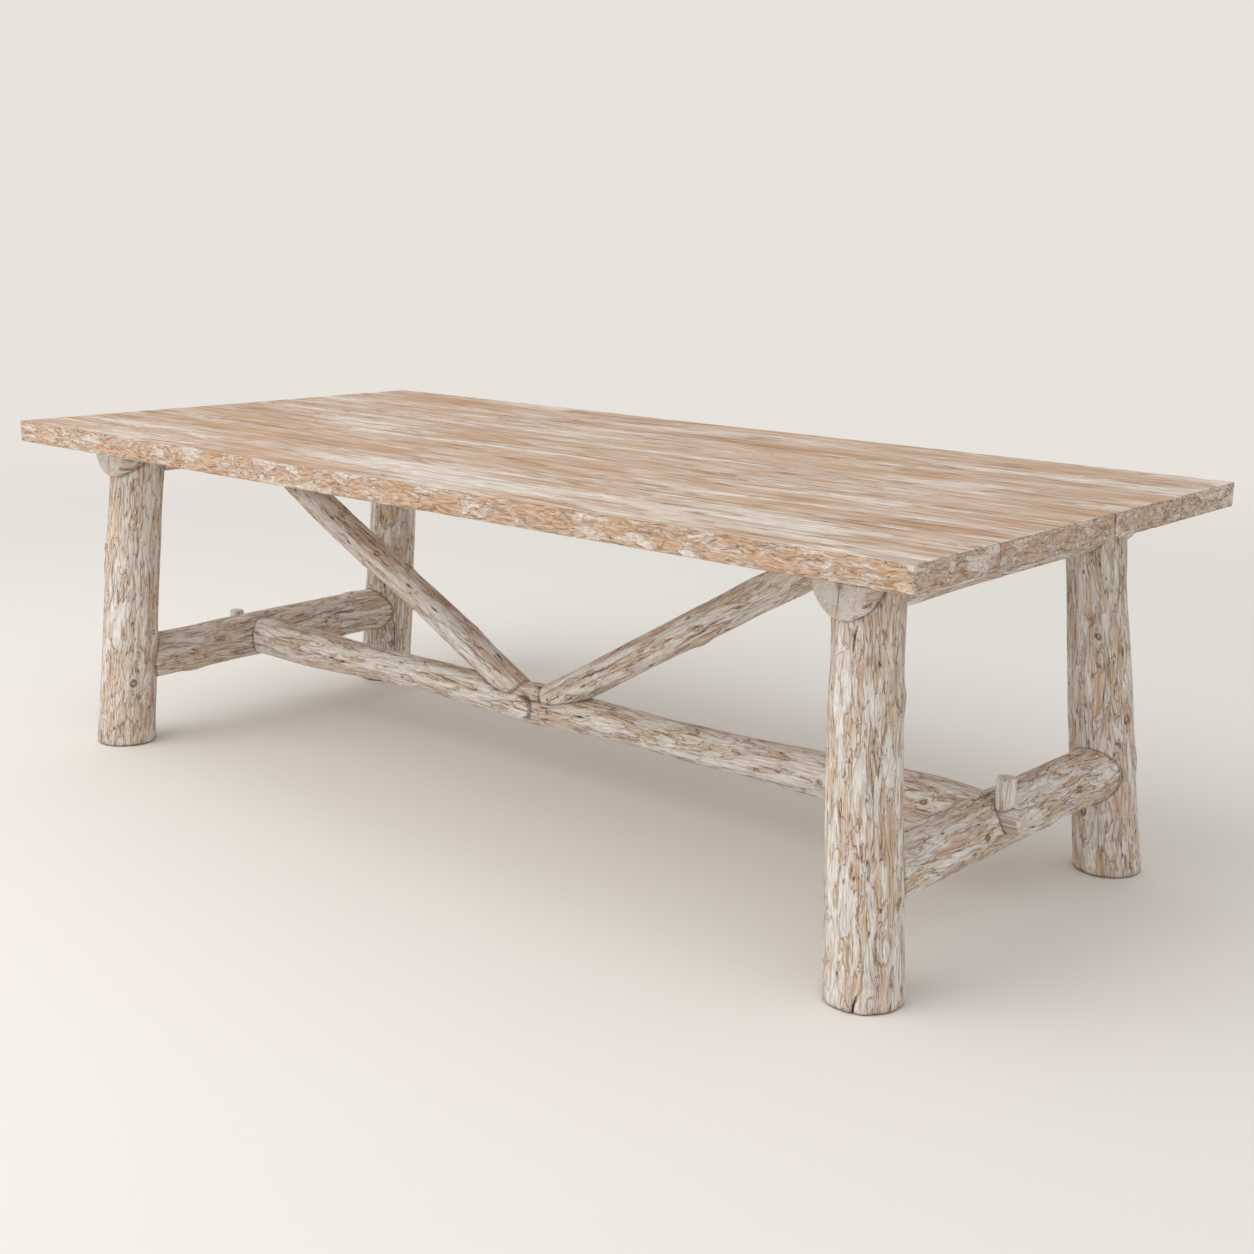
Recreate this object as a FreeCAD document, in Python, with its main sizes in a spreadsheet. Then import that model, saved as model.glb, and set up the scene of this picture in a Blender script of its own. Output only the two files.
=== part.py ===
import FreeCAD, Part
import os

# Log dining table: a five-board top on two log trestles. A long stretcher ties the trestles with
# round through tenons locked by tusk pegs, and two braces rise from its knot to the top.
# Millimetres. +X runs along the top, -Y is the front, +Z is up, and the origin is on the floor
# under the middle of the top.

Vector = FreeCAD.Vector
Rotation = FreeCAD.Rotation
Placement = FreeCAD.Placement

doc = FreeCAD.newDocument("log_dining_table")
size = doc.addObject("Spreadsheet::Sheet", "size")

driving_sizes = [
    # Top
    ("top_length", 2400, "long edge of the top"),
    ("top_height", 780, "floor to the upper face"),
    ("top_thickness", 48, "boards"),
    ("front_board_width", 258, ""),
    ("second_board_width", 260, ""),
    ("third_board_width", 149, ""),
    ("fourth_board_width", 281, ""),
    ("back_board_width", 252, ""),
    ("edge_ease", 3, "bevel along the outer edges of the top"),
    ("seam_arris", 1.2, "bevel along the seams"),
    ("tongue_thickness", 10, "loose tongue between two boards"),
    ("tongue_width", 30, "half of it in each board"),
    ("tongue_stop", 70, "end of the tongue to the end of the board"),
    ("tongue_clearance", 0.3, "all round the tongue"),
    # Bearers
    ("bearer_length", 984, ""),
    ("bearer_diameter", 112, "log before its top is sawn flat"),
    ("left_bearer_height", 74, "sawn flat to the lowest point"),
    ("right_bearer_height", 86, ""),
    ("left_bearer_inset", 192, "axis from the end of the top; the leg heads lie under it"),
    ("right_bearer_inset", 197, ""),
    # Legs
    ("front_left_splay", 69, "foot centre out from the bearer's axis"),
    ("back_left_splay", 77, ""),
    ("front_right_splay", 49, ""),
    ("back_right_splay", 82, ""),
    ("front_left_foot_y", 437, "foot centre from the middle"),
    ("back_left_foot_y", 410, ""),
    ("front_right_foot_y", 438, ""),
    ("back_right_foot_y", 414, ""),
    ("front_head_y", 411, "leg axis where it would meet the boards"),
    ("back_head_y", 399, ""),
    ("leg_foot_diameter", 138, ""),
    ("leg_shin_diameter", 132, ""),
    ("leg_knee_diameter", 131, "about the end stretcher's height"),
    ("leg_waist_diameter", 125, ""),
    ("leg_neck_diameter", 119, ""),
    ("leg_head_diameter", 122, ""),
    ("leg_wander", 3, "how far the log strays from its axis"),
    ("leg_horn_drop", 32, "horns of the saddle to the boards"),
    ("leg_tenon_diameter", 46, ""),
    ("leg_tenon_length", 44, "rise into the bearer"),
    # End stretchers
    ("stretcher_height", 203, "axis of the end stretchers"),
    ("end_stretcher_diameter", 110, "where the long stretcher crosses it"),
    ("end_stretcher_waist", 107, "between the crossing and the legs"),
    ("end_stretcher_end", 113, "at the legs"),
    ("end_stretcher_wander", 2, ""),
    ("end_tenon_diameter", 50, ""),
    ("end_tenon_past", 12, "tenon past the leg's axis"),
    # Long stretcher
    ("stretcher_side_shift", -60, "long stretcher's axis from the middle, to the front"),
    ("left_long_rise", 0, "long stretcher's axis above the left end stretcher's"),
    ("right_long_rise", 24, "and above the right one's: the log leans up to the right"),
    ("long_shoulder_diameter", 80, "rounded down to this at the end stretchers"),
    ("long_butt_diameter", 97, "just inside the shoulders"),
    ("long_waist_diameter", 78, "between the ends and the knot"),
    ("long_wander", 3, ""),
    ("knot_shift", -55, "knot from the middle, to the left"),
    ("knot_diameter", 90, ""),
    ("knot_reach", 64, "half length of the swelling"),
    ("stub_diameter", 50, "sawn branch on the front of the knot"),
    ("stub_length", 7, "stub past the knot"),
    ("long_tenon_diameter", 48, ""),
    ("long_tenon_past", 23, "tenon past its peg"),
    # Braces
    ("brace_foot_diameter", 72, ""),
    ("brace_waist_diameter", 70, ""),
    ("brace_head_diameter", 71, ""),
    ("brace_wander", 2, ""),
    ("brace_foot_spread", 20, "brace axis from the knot, at the stretcher's axis"),
    ("brace_start", 44, "blunt foot from the knot's middle"),
    ("left_brace_past", 72, "axis at the boards' underside, out from the bearer's axis"),
    ("right_brace_short", 153, "axis at the boards' underside, in from the bearer's axis"),
    # Tusk pegs
    ("peg_top_diameter", 38, ""),
    ("peg_tip_diameter", 30, ""),
    ("left_peg_above", 28, "left peg above its tenon"),
    ("right_peg_above", 55, "right peg above its tenon"),
    ("peg_depth", 40, "peg in the tenon"),
    ("peg_tip_gap", 1, "below the peg in its hole"),
    ("peg_crown", 3, "bevel round the struck end"),
    ("peg_clearance", 0.35, "peg to its hole"),
    ("peg_standoff", 0.8, "peg to the end stretcher"),
    # Fits
    ("joint_clearance", 0.3, "tenon to mortise"),
    ("scribe_gap", 0.4, "between two coped logs"),
    # Bearer screws
    ("screw_diameter", 8, ""),
    ("screw_head_diameter", 16, ""),
    ("screw_head_height", 5, ""),
    ("screw_bite", 34, "into the boards"),
    ("screw_recess", 24, "seat of the head above the bearer's lowest point"),
    ("screw_pitch", 150, "along the bearer"),
    ("screw_shift", 20, "middle screw from the middle, to the back"),
    ("screw_clearance", 0.3, "all screws and nails to their holes"),
    # Brace screws
    ("brace_screw_diameter", 6, ""),
    ("brace_screw_head_diameter", 11, ""),
    ("brace_screw_head_height", 3.5, ""),
    ("brace_screw_bite", 32, "into the boards or the bearer"),
    ("brace_screw_seat", 20, "right brace: seat of the heads below the boards"),
    ("brace_screw_seam", 22, "right brace: screws behind the top's second seam"),
    ("brace_lip_seat", 6, "left brace: seat of the heads below the bearer"),
    ("brace_lip_inset", 16, "left brace: screws from the bearer's axis"),
    ("brace_screw_spread", 14, "each way from the middle of the pair"),
    # Brace nails
    ("nail_diameter", 4, ""),
    ("nail_length", 34, ""),
    ("nail_cover", 4, "nail past the stretcher's surface, into the brace"),
    ("nail_angle", 52, "degrees from upright, towards the side of the stretcher"),
    ("nail_rise", 10, "degrees that each next nail stands nearer upright"),
    ("nail_first", 66, "first nail from the knot"),
    ("nail_spacing", 32, ""),
]

# Sizes that follow from the ones above.
derived_sizes = [
    ("top_width", "front_board_width + second_board_width + third_board_width"
                  " + fourth_board_width + back_board_width"),
    ("underside", "top_height - top_thickness"),
    ("tongue_bottom", "underside + (top_thickness - tongue_thickness) / 2"),
    ("front_edge", "-top_width / 2"),
    ("seam_1", "front_edge + front_board_width"),
    ("seam_2", "seam_1 + second_board_width"),
    ("seam_3", "seam_2 + third_board_width"),
    ("seam_4", "seam_3 + fourth_board_width"),
    ("left_bearer_bottom", "underside - left_bearer_height"),
    ("right_bearer_bottom", "underside - right_bearer_height"),
    ("left_bearer_axis", "left_bearer_bottom + bearer_diameter / 2"),
    ("right_bearer_axis", "right_bearer_bottom + bearer_diameter / 2"),
    ("leg_top", "underside - leg_horn_drop"),
    ("left_bearer_x", "top_length / 2 - left_bearer_inset"),
    ("right_bearer_x", "top_length / 2 - right_bearer_inset"),
    ("left_brace_head_x", "left_bearer_x + left_brace_past"),
    ("right_brace_head_x", "right_bearer_x - right_brace_short"),
    ("left_long_height", "stretcher_height + left_long_rise"),
    ("right_long_height", "stretcher_height + right_long_rise"),
    ("long_height", "(left_long_height + right_long_height) / 2"),
    ("brace_rise", "underside - long_height"),
    ("left_brace_run", "left_brace_head_x + knot_shift - brace_foot_spread"),
    ("right_brace_run", "right_brace_head_x - knot_shift - brace_foot_spread"),
]

# The feet, where the stretchers meet the legs, and where the long stretcher crosses the end ones.
ends = [("left", -1), ("right", 1)]
sides = [("front", -1), ("back", 1)]
for end, end_sign in ends:
    for side, side_sign in sides:
        foot = f"{side}_{end}_foot"
        knee = f"{side}_{end}_knee"
        derived_sizes += [
            (foot + "_x", f"{end}_bearer_x + {side}_{end}_splay"),
            (knee + "_x", f"{foot}_x + ({end}_bearer_x - {foot}_x) * stretcher_height / underside"),
            (knee + "_y", f"{foot}_y + ({side}_head_y - {foot}_y) * stretcher_height / underside"),
        ]
    front = f"front_{end}_knee"
    back = f"back_{end}_knee"
    derived_sizes += [
        (f"{end}_end_skew", f"({back}_x - {front}_x) / ({back}_y + {front}_y)"),
        (f"{end}_crossing_x", f"{front}_x + {end}_end_skew * ({front}_y + stretcher_side_shift)"),
        (f"{end}_tenon_top", f"{end}_long_height + long_tenon_diameter / 2"),
        (f"{end}_stretcher_face",
         f"sqrt((end_stretcher_diameter / 2)^2 - ({end}_tenon_top - stretcher_height)^2)"),
        (f"{end}_peg_length", f"{end}_peg_above + peg_depth"),
        (f"{end}_peg_neck", f"peg_tip_diameter + (peg_top_diameter - peg_tip_diameter) * peg_depth"
                            f" / ({end}_peg_length - peg_crown)"),
        (f"{end}_peg_x", f"{end}_crossing_x + {end}_stretcher_face + {end}_peg_neck / 2 + peg_standoff"),
        (f"{end}_tenon_reach", f"{end}_peg_x + {end}_peg_neck / 2 + long_tenon_past"),
    ]

row = 0
for alias, number, note in driving_sizes:
    row += 1
    size.set(f"A{row}", alias)
    size.set(f"B{row}", str(number))
    size.set(f"C{row}", note)
    size.setAlias(f"B{row}", alias)
for alias, formula in derived_sizes:
    row += 1
    size.set(f"A{row}", alias)
    size.set(f"B{row}", "=" + formula)
    size.setAlias(f"B{row}", alias)
doc.recompute()

# How a ring or a bar is turned to lie across, or run along, an axis of the table.
facing = {
    "X": Rotation(Vector(0, 1, 0), 90),
    "Y": Rotation(Vector(1, 0, 0), -90),
    "Z": Rotation(),
}
oval = 1.02   # a log is this much wider one way, and as much narrower the other


def bind(piece, formulas):
    for path, formula in formulas.items():
        piece.setExpression(path, formula)


def make(kind, label, formulas, rotation=Rotation()):
    # One object of the document, with its properties bound to formulas of the sheet.
    piece = doc.addObject(kind, label)
    piece.Placement = Placement(Vector(), rotation)
    bind(piece, formulas)
    return piece


def spot(x, y, z):
    return {"Placement.Base.x": x, "Placement.Base.y": y, "Placement.Base.z": z}


def block(length, width, height, x, y, z):
    return {"Length": length, "Width": width, "Height": height, **spot(x, y, z)}


def bar(label, along, diameter, length, x, y, z):
    # A straight round bar from (x, y, z) along an axis, its surface's seam turned to the side.
    return make("Part::Cylinder", label,
                {"Radius": f"({diameter}) / 2", "Height": length, **spot(x, y, z)},
                facing[along].multiply(Rotation(Vector(0, 0, 1), 90)))


def log(label, along, rings, turn=0, grow="0"):
    # A natural log: a smooth loft through oval rings, each (x, y, z, wide, narrow) in formulas.
    # turn moves the surface's seam round the log, clear of the joints. grow adds to every radius,
    # for the tool that copes another log to this one.
    sections = []
    for number, (x, y, z, wide, narrow) in enumerate(rings):
        shape = {"MajorRadius": f"({wide}) / 2 + {grow}", "MinorRadius": f"({narrow}) / 2 + {grow}"}
        rotation = facing[along].multiply(Rotation(Vector(0, 0, 1), turn))
        sections.append(make("Part::Ellipse", f"{label}_ring_{number}", {**shape, **spot(x, y, z)}, rotation))
    piece = doc.addObject("Part::Loft", label)
    piece.Sections = sections
    piece.Solid = True
    return piece


def round_ring(x, y, z, diameter):
    return (x, y, z, diameter, diameter)


def oval_ring(x, y, z, diameter):
    return (x, y, z, f"{diameter} * {oval}", f"{diameter} / {oval}")


def group(label, members):
    piece = doc.addObject("Part::Compound", label)
    piece.Links = members
    return piece


def fuse(label, members):
    piece = doc.addObject("Part::MultiFuse", label)
    piece.Shapes = members
    return piece


def cut(label, base, tools):
    # Takes each tool from the base in turn; the last result has the label.
    for number, tool in enumerate(tools):
        name = label if tool is tools[-1] else f"{label}_cut_{number}"
        piece = doc.addObject("Part::Cut", name)
        piece.Base = base
        piece.Tool = tool
        base = piece
    return base


scribe = "size.scribe_gap"
nodes = []


# Screws and nails come first, because the wood is drilled for them.
def screw(label, kind, x, y, seat, tip):
    # An upright screw, head down: the head hangs below its seat and the shank ends at its tip.
    head = bar(label + "_head", "Z", f"size.{kind}_head_diameter", f"size.{kind}_head_height",
               x, y, f"{seat} - size.{kind}_head_height")
    shank = bar(label + "_shank", "Z", f"size.{kind}_diameter", f"{tip} - ({seat})", x, y, seat)
    return fuse(label, [head, shank])


def screw_hole(label, kind, x, y, seat, tip, mouth):
    # A wide recess up from the mouth to the seat, and a drilled hole to just past the tip.
    gap = "size.screw_clearance"
    recess = bar(label + "_recess", "Z", f"size.{kind}_head_diameter + 2 * {gap}",
                 f"{seat} - ({mouth})", x, y, mouth)
    drill = bar(label + "_drill", "Z", f"size.{kind}_diameter + 2 * {gap}",
                f"{tip} + {gap} - ({mouth})", x, y, mouth)
    return fuse(label + "_hole", [recess, drill])


screws_in_bearer = 5
bearer_holes = {}
for end, end_sign in ends:
    made = []
    holes = []
    for number in range(screws_in_bearer):
        place = number - screws_in_bearer // 2
        x = f"{end_sign} * size.{end}_bearer_x"
        y = f"size.screw_shift + {place} * size.screw_pitch"
        seat = f"size.{end}_bearer_bottom + size.screw_recess"
        tip = "size.underside + size.screw_bite"
        mouth = f"size.{end}_bearer_bottom - size.screw_recess"
        made.append(screw(f"{end}_bearer_screw_{number}", "screw", x, y, seat, tip))
        holes.append(screw_hole(f"{end}_bearer_screw_{number}", "screw", x, y, seat, tip, mouth))
    nodes.append(group(f"{end}_bearer_screws", made))
    bearer_holes[end] = group(f"{end}_bearer_holes", holes)

# The left brace is screwed up into the bearer through its lip, with a screw on each side of its axis.
# The right one is screwed into the third board, clear of its tongue, with one screw before the other.
brace_fixings = {
    "left": ("-size.left_bearer_x + size.brace_lip_inset",
             "size.left_bearer_bottom - size.brace_lip_seat",
             "size.left_bearer_bottom + size.brace_screw_bite"),
    "right": ("size.right_brace_head_x",
              "size.underside - size.brace_screw_seat",
              "size.underside + size.brace_screw_bite"),
}
brace_screw_holes = {}
for end, (x, seat, tip) in brace_fixings.items():
    made = []
    holes = []
    mouth = f"{seat} - 2 * size.brace_head_diameter"
    for number, sign in enumerate((-1, 1)):
        spread = f"{sign} * size.brace_screw_spread"
        place = (x, f"size.stretcher_side_shift + {spread}")
        if end == "right":
            place = (f"{x} + {spread}", "size.seam_2 + size.brace_screw_seam")
        made.append(screw(f"{end}_brace_screw_{number}", "brace_screw", *place, seat, tip))
        holes.append(screw_hole(f"{end}_brace_screw_{number}", "brace_screw", *place, seat, tip, mouth))
    nodes.append(group(f"{end}_brace_screws", made))
    brace_screw_holes[end] = group(f"{end}_brace_screw_holes", holes)


def nail(label, x, side_sign, angle, diameter, start, length):
    # A pin along a line through the stretcher's axis that leans to the front or the back.
    # start is the pin's inner end, measured out from that axis.
    return make("Part::Cylinder", label, {
        "Radius": f"({diameter}) / 2",
        "Height": length,
        "Placement.Rotation.Angle": f"{-side_sign} * ({angle})",
        **spot(x, f"size.stretcher_side_shift + ({start}) * {side_sign} * sin({angle})",
               f"size.long_height + ({start}) * cos({angle})"),
    }, Rotation(Vector(1, 0, 0), 1))


nails_on_a_side = 2
nail_holes = {}
for end, end_sign in ends:
    made = []
    holes = []
    inner = "size.long_waist_diameter / 2 + size.nail_cover - size.nail_length"
    for side, side_sign in sides:
        for number in range(nails_on_a_side):
            x = f"size.knot_shift + {end_sign} * (size.nail_first + {number} * size.nail_spacing)"
            angle = f"size.nail_angle - {number} * size.nail_rise"
            label = f"{end}_brace_{side}_nail_{number}"
            made.append(nail(label, x, side_sign, angle, "size.nail_diameter", inner, "size.nail_length"))
            holes.append(nail(label + "_hole", x, side_sign, angle,
                              "size.nail_diameter + 2 * size.screw_clearance",
                              f"{inner} - size.screw_clearance",
                              "size.nail_length + size.brace_foot_diameter"))
    nodes.append(group(f"{end}_brace_nails", made))
    nail_holes[end] = group(f"{end}_brace_nail_holes", holes)


# Top boards, edge to edge, grooved for the loose tongues.
def bevel(body, base, label, formula, wanted):
    # Bevels those edges of the base whose box passes the test.
    doc.recompute()
    names = [f"Edge{number}" for number, edge in enumerate(base.Shape.Edges, 1) if wanted(edge.BoundBox)]
    piece = body.newObject("PartDesign::Chamfer", label)
    piece.Base = (base, names)
    piece.setExpression("Size", formula)
    return piece


boards = ["front_board", "second_board", "third_board", "fourth_board", "back_board"]
starts = ["size.front_edge", "size.seam_1", "size.seam_2", "size.seam_3", "size.seam_4"]
tolerance = 1e-6


def straight(found, across, up):
    return getattr(found, across) < tolerance and getattr(found, up) < tolerance


def on_seam(found):
    inside = abs(found.YMax) < size.top_width / 2 - tolerance
    return straight(found, "YLength", "ZLength") and inside and found.ZMax > size.top_height - tolerance


def on_outside(found):
    long_edge = abs(found.YMax) > size.top_width / 2 - tolerance
    short_edge = abs(found.XMax) > size.top_length / 2 - tolerance
    return ((straight(found, "YLength", "ZLength") and long_edge)
            or (straight(found, "XLength", "ZLength") and short_edge))


for number, name in enumerate(boards):
    body = doc.addObject("PartDesign::Body", name + "_blank")
    last = body.newObject("PartDesign::AdditiveBox", name + "_plank")
    bind(last, block("size.top_length", f"size.{name}_width", "size.top_thickness",
                     "-size.top_length / 2", starts[number], "size.underside"))
    for seam in range(1, len(boards)):
        if seam not in (number, number + 1):
            continue
        last = body.newObject("PartDesign::SubtractiveBox", f"{name}_groove_{seam}")
        bind(last, block("size.top_length - 2 * size.tongue_stop + 2 * size.tongue_clearance",
                         "size.tongue_width + 2 * size.tongue_clearance",
                         "size.tongue_thickness + 2 * size.tongue_clearance",
                         "-size.top_length / 2 + size.tongue_stop - size.tongue_clearance",
                         f"{starts[seam]} - size.tongue_width / 2 - size.tongue_clearance",
                         "size.tongue_bottom - size.tongue_clearance"))
    last = bevel(body, last, name + "_seam_bevel", "size.seam_arris", on_seam)
    last = bevel(body, last, name + "_edge_bevel", "size.edge_ease", on_outside)
    body.Tip = last
    nodes.append(cut(name, body, [bearer_holes["left"], bearer_holes["right"], brace_screw_holes["right"]]))

for seam in range(1, len(boards)):
    nodes.append(make("Part::Box", f"tongue_{seam}", block(
        "size.top_length - 2 * size.tongue_stop", "size.tongue_width", "size.tongue_thickness",
        "-size.top_length / 2 + size.tongue_stop", f"{starts[seam]} - size.tongue_width / 2",
        "size.tongue_bottom")))


# Logs that others are coped to: each is lofted twice, once as itself and once grown by the scribe gap.
def bearer_rings(end, end_sign):
    x = f"{end_sign} * size.{end}_bearer_x"
    axis = f"size.{end}_bearer_axis"
    return [round_ring(x, f"{share} * size.bearer_length / 2", axis, "size.bearer_diameter")
            for share in (-1, -0.4, 0.4, 1)]


# A leg's rings: share of its height, diameter, and how it strays to each side.
leg_shape = [
    (0.00, "size.leg_foot_diameter", 0.0, 0.0),
    (0.13, "size.leg_shin_diameter", 0.6, -0.4),
    (0.29, "size.leg_knee_diameter", 0.0, 0.0),
    (0.56, "size.leg_waist_diameter", -1.0, 0.7),
    (0.83, "size.leg_neck_diameter", 0.4, -0.5),
    (1.00, "size.leg_head_diameter", 0.0, 0.0),
]
leg_turns = {("left", "front"): 200, ("left", "back"): 20, ("right", "front"): 335, ("right", "back"): 155}


def leg_rings(end, end_sign, side, side_sign):
    rings = []
    foot = f"size.{side}_{end}_foot"
    for share, diameter, stray_x, stray_y in leg_shape:
        rise = f"{share} * size.leg_top / size.underside"
        x = f"{end_sign} * ({foot}_x + (size.{end}_bearer_x - {foot}_x) * {rise})"
        y = f"{side_sign} * ({foot}_y + (size.{side}_head_y - {foot}_y) * {rise})"
        rings.append(oval_ring(f"{x} + {stray_x} * size.leg_wander", f"{y} + {stray_y} * size.leg_wander",
                               f"{share} * size.leg_top", diameter))
    return rings


# An end stretcher's rings: share of the way from the crossing to a leg, diameter, and how it strays.
end_stretcher_shape = [
    ("front", 1.00, "size.end_stretcher_end", 0),
    ("front", 0.55, "size.end_stretcher_waist", 1),
    ("front", 0.00, "size.end_stretcher_diameter", 0),
    ("back", 0.50, "size.end_stretcher_waist", -1),
    ("back", 1.00, "size.end_stretcher_end", 0),
]


def end_stretcher_rings(end, end_sign):
    rings = []
    for side, share, diameter, stray in end_stretcher_shape:
        side_sign = dict(sides)[side]
        along = f"{share} * ({side_sign} * size.{side}_{end}_knee_y - size.stretcher_side_shift)"
        shift = f"{stray} * size.end_stretcher_wander"
        x = f"{end_sign} * (size.{end}_crossing_x + size.{end}_end_skew * {along}) + {shift}"
        ring = oval_ring if share else round_ring
        rings.append(ring(x, f"size.stretcher_side_shift + {along}", f"size.stretcher_height - {shift}",
                          diameter))
    return rings


# The long stretcher's rings from its middle outwards: share of its half length, how far it has
# swollen from its waist to its butt, and how it strays.
long_shape = [(0.125, 0.0, 0.4), (0.25, 0.0, 0.8), (0.375, 0.0, 1.0), (0.5, 0.05, 0.9),
              (0.625, 0.25, 0.5), (0.75, 0.65, 0.2), (0.875, 1.0, 0.0)]


def long_stretcher_rings():
    y = "size.stretcher_side_shift"
    rings = [round_ring("0", y, "size.long_height", "size.long_waist_diameter")]
    for share, swell, stray in long_shape:
        diameter = f"(size.long_waist_diameter * {1 - swell} + size.long_butt_diameter * {swell})"
        for end, end_sign in ends:
            shift = f"{-end_sign * stray} * size.long_wander"
            up = f"size.long_height * {1 - share} + size.{end}_long_height * {share}"
            ring = oval_ring(f"{end_sign * share} * size.{end}_crossing_x", f"{y} + {shift}",
                             f"{up} + {shift}", diameter)
            rings.insert(0 if end_sign < 0 else len(rings), ring)
    shoulder = "size.long_shoulder_diameter"
    first = round_ring("-size.left_crossing_x", y, "size.left_long_height", shoulder)
    last = round_ring("size.right_crossing_x", y, "size.right_long_height", shoulder)
    return [first, *rings, last]


# The knot swells out of the log and sinks back under its bark line at both ends.
def knot_rings():
    waist = "size.long_waist_diameter"
    swell = "(size.knot_diameter - size.long_waist_diameter)"
    return [round_ring(f"size.knot_shift + {share} * size.knot_reach", "size.stretcher_side_shift",
                       "size.long_height", f"{waist} + {rise} * {swell}")
            for share, rise in ((-1, -0.5), (-0.5, 0.75), (0, 1), (0.5, 0.75), (1, -0.5))]


seam_up = -90
seam_down = 90
seam_aside = 35
bearer_log = {}
bearer_tool = {}
end_log = {}
end_tool = {}
leg_log = {}
leg_tool = {}
for end, end_sign in ends:
    bearer_log[end] = log(f"{end}_bearer_log", "Y", bearer_rings(end, end_sign), seam_up)
    bearer_tool[end] = log(f"{end}_bearer_scribe", "Y", bearer_rings(end, end_sign), seam_up, scribe)
    rings = end_stretcher_rings(end, end_sign)
    end_log[end] = log(f"{end}_end_stretcher_log", "Y", rings, seam_down)
    end_tool[end] = log(f"{end}_end_stretcher_scribe", "Y", rings, seam_down, scribe)
    for side, side_sign in sides:
        rings = leg_rings(end, end_sign, side, side_sign)
        turn = leg_turns[end, side]
        leg_log[end, side] = log(f"{side}_{end}_leg_log", "Z", rings, turn)
        leg_tool[end, side] = log(f"{side}_{end}_leg_scribe", "Z", rings, turn, scribe)
long_log = log("long_stretcher_log", "X", long_stretcher_rings())
long_tool = log("long_stretcher_scribe", "X", long_stretcher_rings(), grow=scribe)
knot_log = log("knot_log", "X", knot_rings(), seam_aside)
knot_tool = log("knot_scribe", "X", knot_rings(), seam_aside, scribe)

# What rises past the underside of the boards is sawn off there.
top_space = make("Part::Box", "top_space", block(
    "size.top_length", "size.top_width", "size.top_thickness + size.bearer_diameter",
    "-size.top_length / 2", "-size.top_width / 2", "size.underside"))
slack = "size.joint_clearance"

# Trestles: bearers, legs and end stretchers.
for end, end_sign in ends:
    mortises = []
    end_tenons = []
    for side, side_sign in sides:
        name = f"{side}_{end}_leg"
        head = (f"{end_sign} * size.{end}_bearer_x", f"{side_sign} * size.{side}_head_y",
                f"size.{end}_bearer_bottom - size.leg_tenon_length")
        tenon = bar(name + "_tenon", "Z", "size.leg_tenon_diameter", "2 * size.leg_tenon_length", *head)
        mortises.append(bar(name + "_mortise", "Z", f"size.leg_tenon_diameter + 2 * {slack}",
                            f"2 * size.leg_tenon_length + {slack}", *head))
        # The end stretcher's tenon starts inside its own log and ends a little past the leg's axis.
        knee_x = f"{end_sign} * size.{side}_{end}_knee_x"
        outer = f"(size.{side}_{end}_knee_y + size.end_tenon_past)"
        length = "(size.leg_knee_diameter + size.end_tenon_past)"
        reach = {"end_tenon": ("0", length), "socket": (slack, f"({length} + {slack})")}
        made = {}
        for piece, (gap, run) in reach.items():
            start = f"-({outer} + {gap})" if side == "front" else f"{outer} + {gap} - {run}"
            made[piece] = bar(f"{name}_{piece}", "Y", f"size.end_tenon_diameter + 2 * {gap}", run,
                              knee_x, start, "size.stretcher_height")
        end_tenons.append(made["end_tenon"])
        coped = cut(name + "_coped", leg_log[end, side], [bearer_tool[end], made["socket"]])
        nodes.append(fuse(name, [coped, tenon]))

    bearer_tools = [top_space, *mortises, bearer_holes[end]]
    if end == "left":
        bearer_tools.append(brace_screw_holes[end])
    nodes.append(cut(f"{end}_bearer", bearer_log[end], bearer_tools))

    name = f"{end}_end_stretcher"
    coped = cut(name + "_coped", end_log[end], [leg_tool[end, side] for side, side_sign in sides])
    bore = bar(name + "_bore", "X", f"size.long_tenon_diameter + 2 * {slack}", "2 * size.end_stretcher_end",
               f"{end_sign} * size.{end}_crossing_x - size.end_stretcher_end",
               "size.stretcher_side_shift", f"size.{end}_long_height")
    nodes.append(cut(name, fuse(name + "_solid", [coped, *end_tenons]), [bore]))


# Tusk pegs: round, tapered, with a bevelled crown. A peg's hole is a little wider and deeper.
def peg(label, end, end_sign, extra, drop):
    full = f"size.{end}_peg_length"
    rings = []
    for number, (diameter, up) in enumerate([
            ("size.peg_tip_diameter", f"-{drop}"),
            ("size.peg_top_diameter", f"{full} - size.peg_crown"),
            ("size.peg_top_diameter - 2 * size.peg_crown", full)]):
        radius = f"({diameter}) / 2 + {extra}"
        rings.append(make("Part::Ellipse", f"{label}_ring_{number}", {
            "MajorRadius": radius, "MinorRadius": radius,
            **spot(f"{end_sign} * size.{end}_peg_x", "size.stretcher_side_shift",
                   f"size.{end}_tenon_top - size.peg_depth + {up}"),
        }, Rotation(Vector(0, 0, 1), seam_aside)))
    piece = doc.addObject("Part::Loft", label)
    piece.Sections = rings
    piece.Solid = True
    piece.Ruled = True
    return piece


peg_holes = {}
for end, end_sign in ends:
    nodes.append(peg(f"{end}_tusk_peg", end, end_sign, "0", "0"))
    peg_holes[end] = peg(f"{end}_peg_hole", end, end_sign, "size.peg_clearance", "size.peg_tip_gap")

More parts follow.
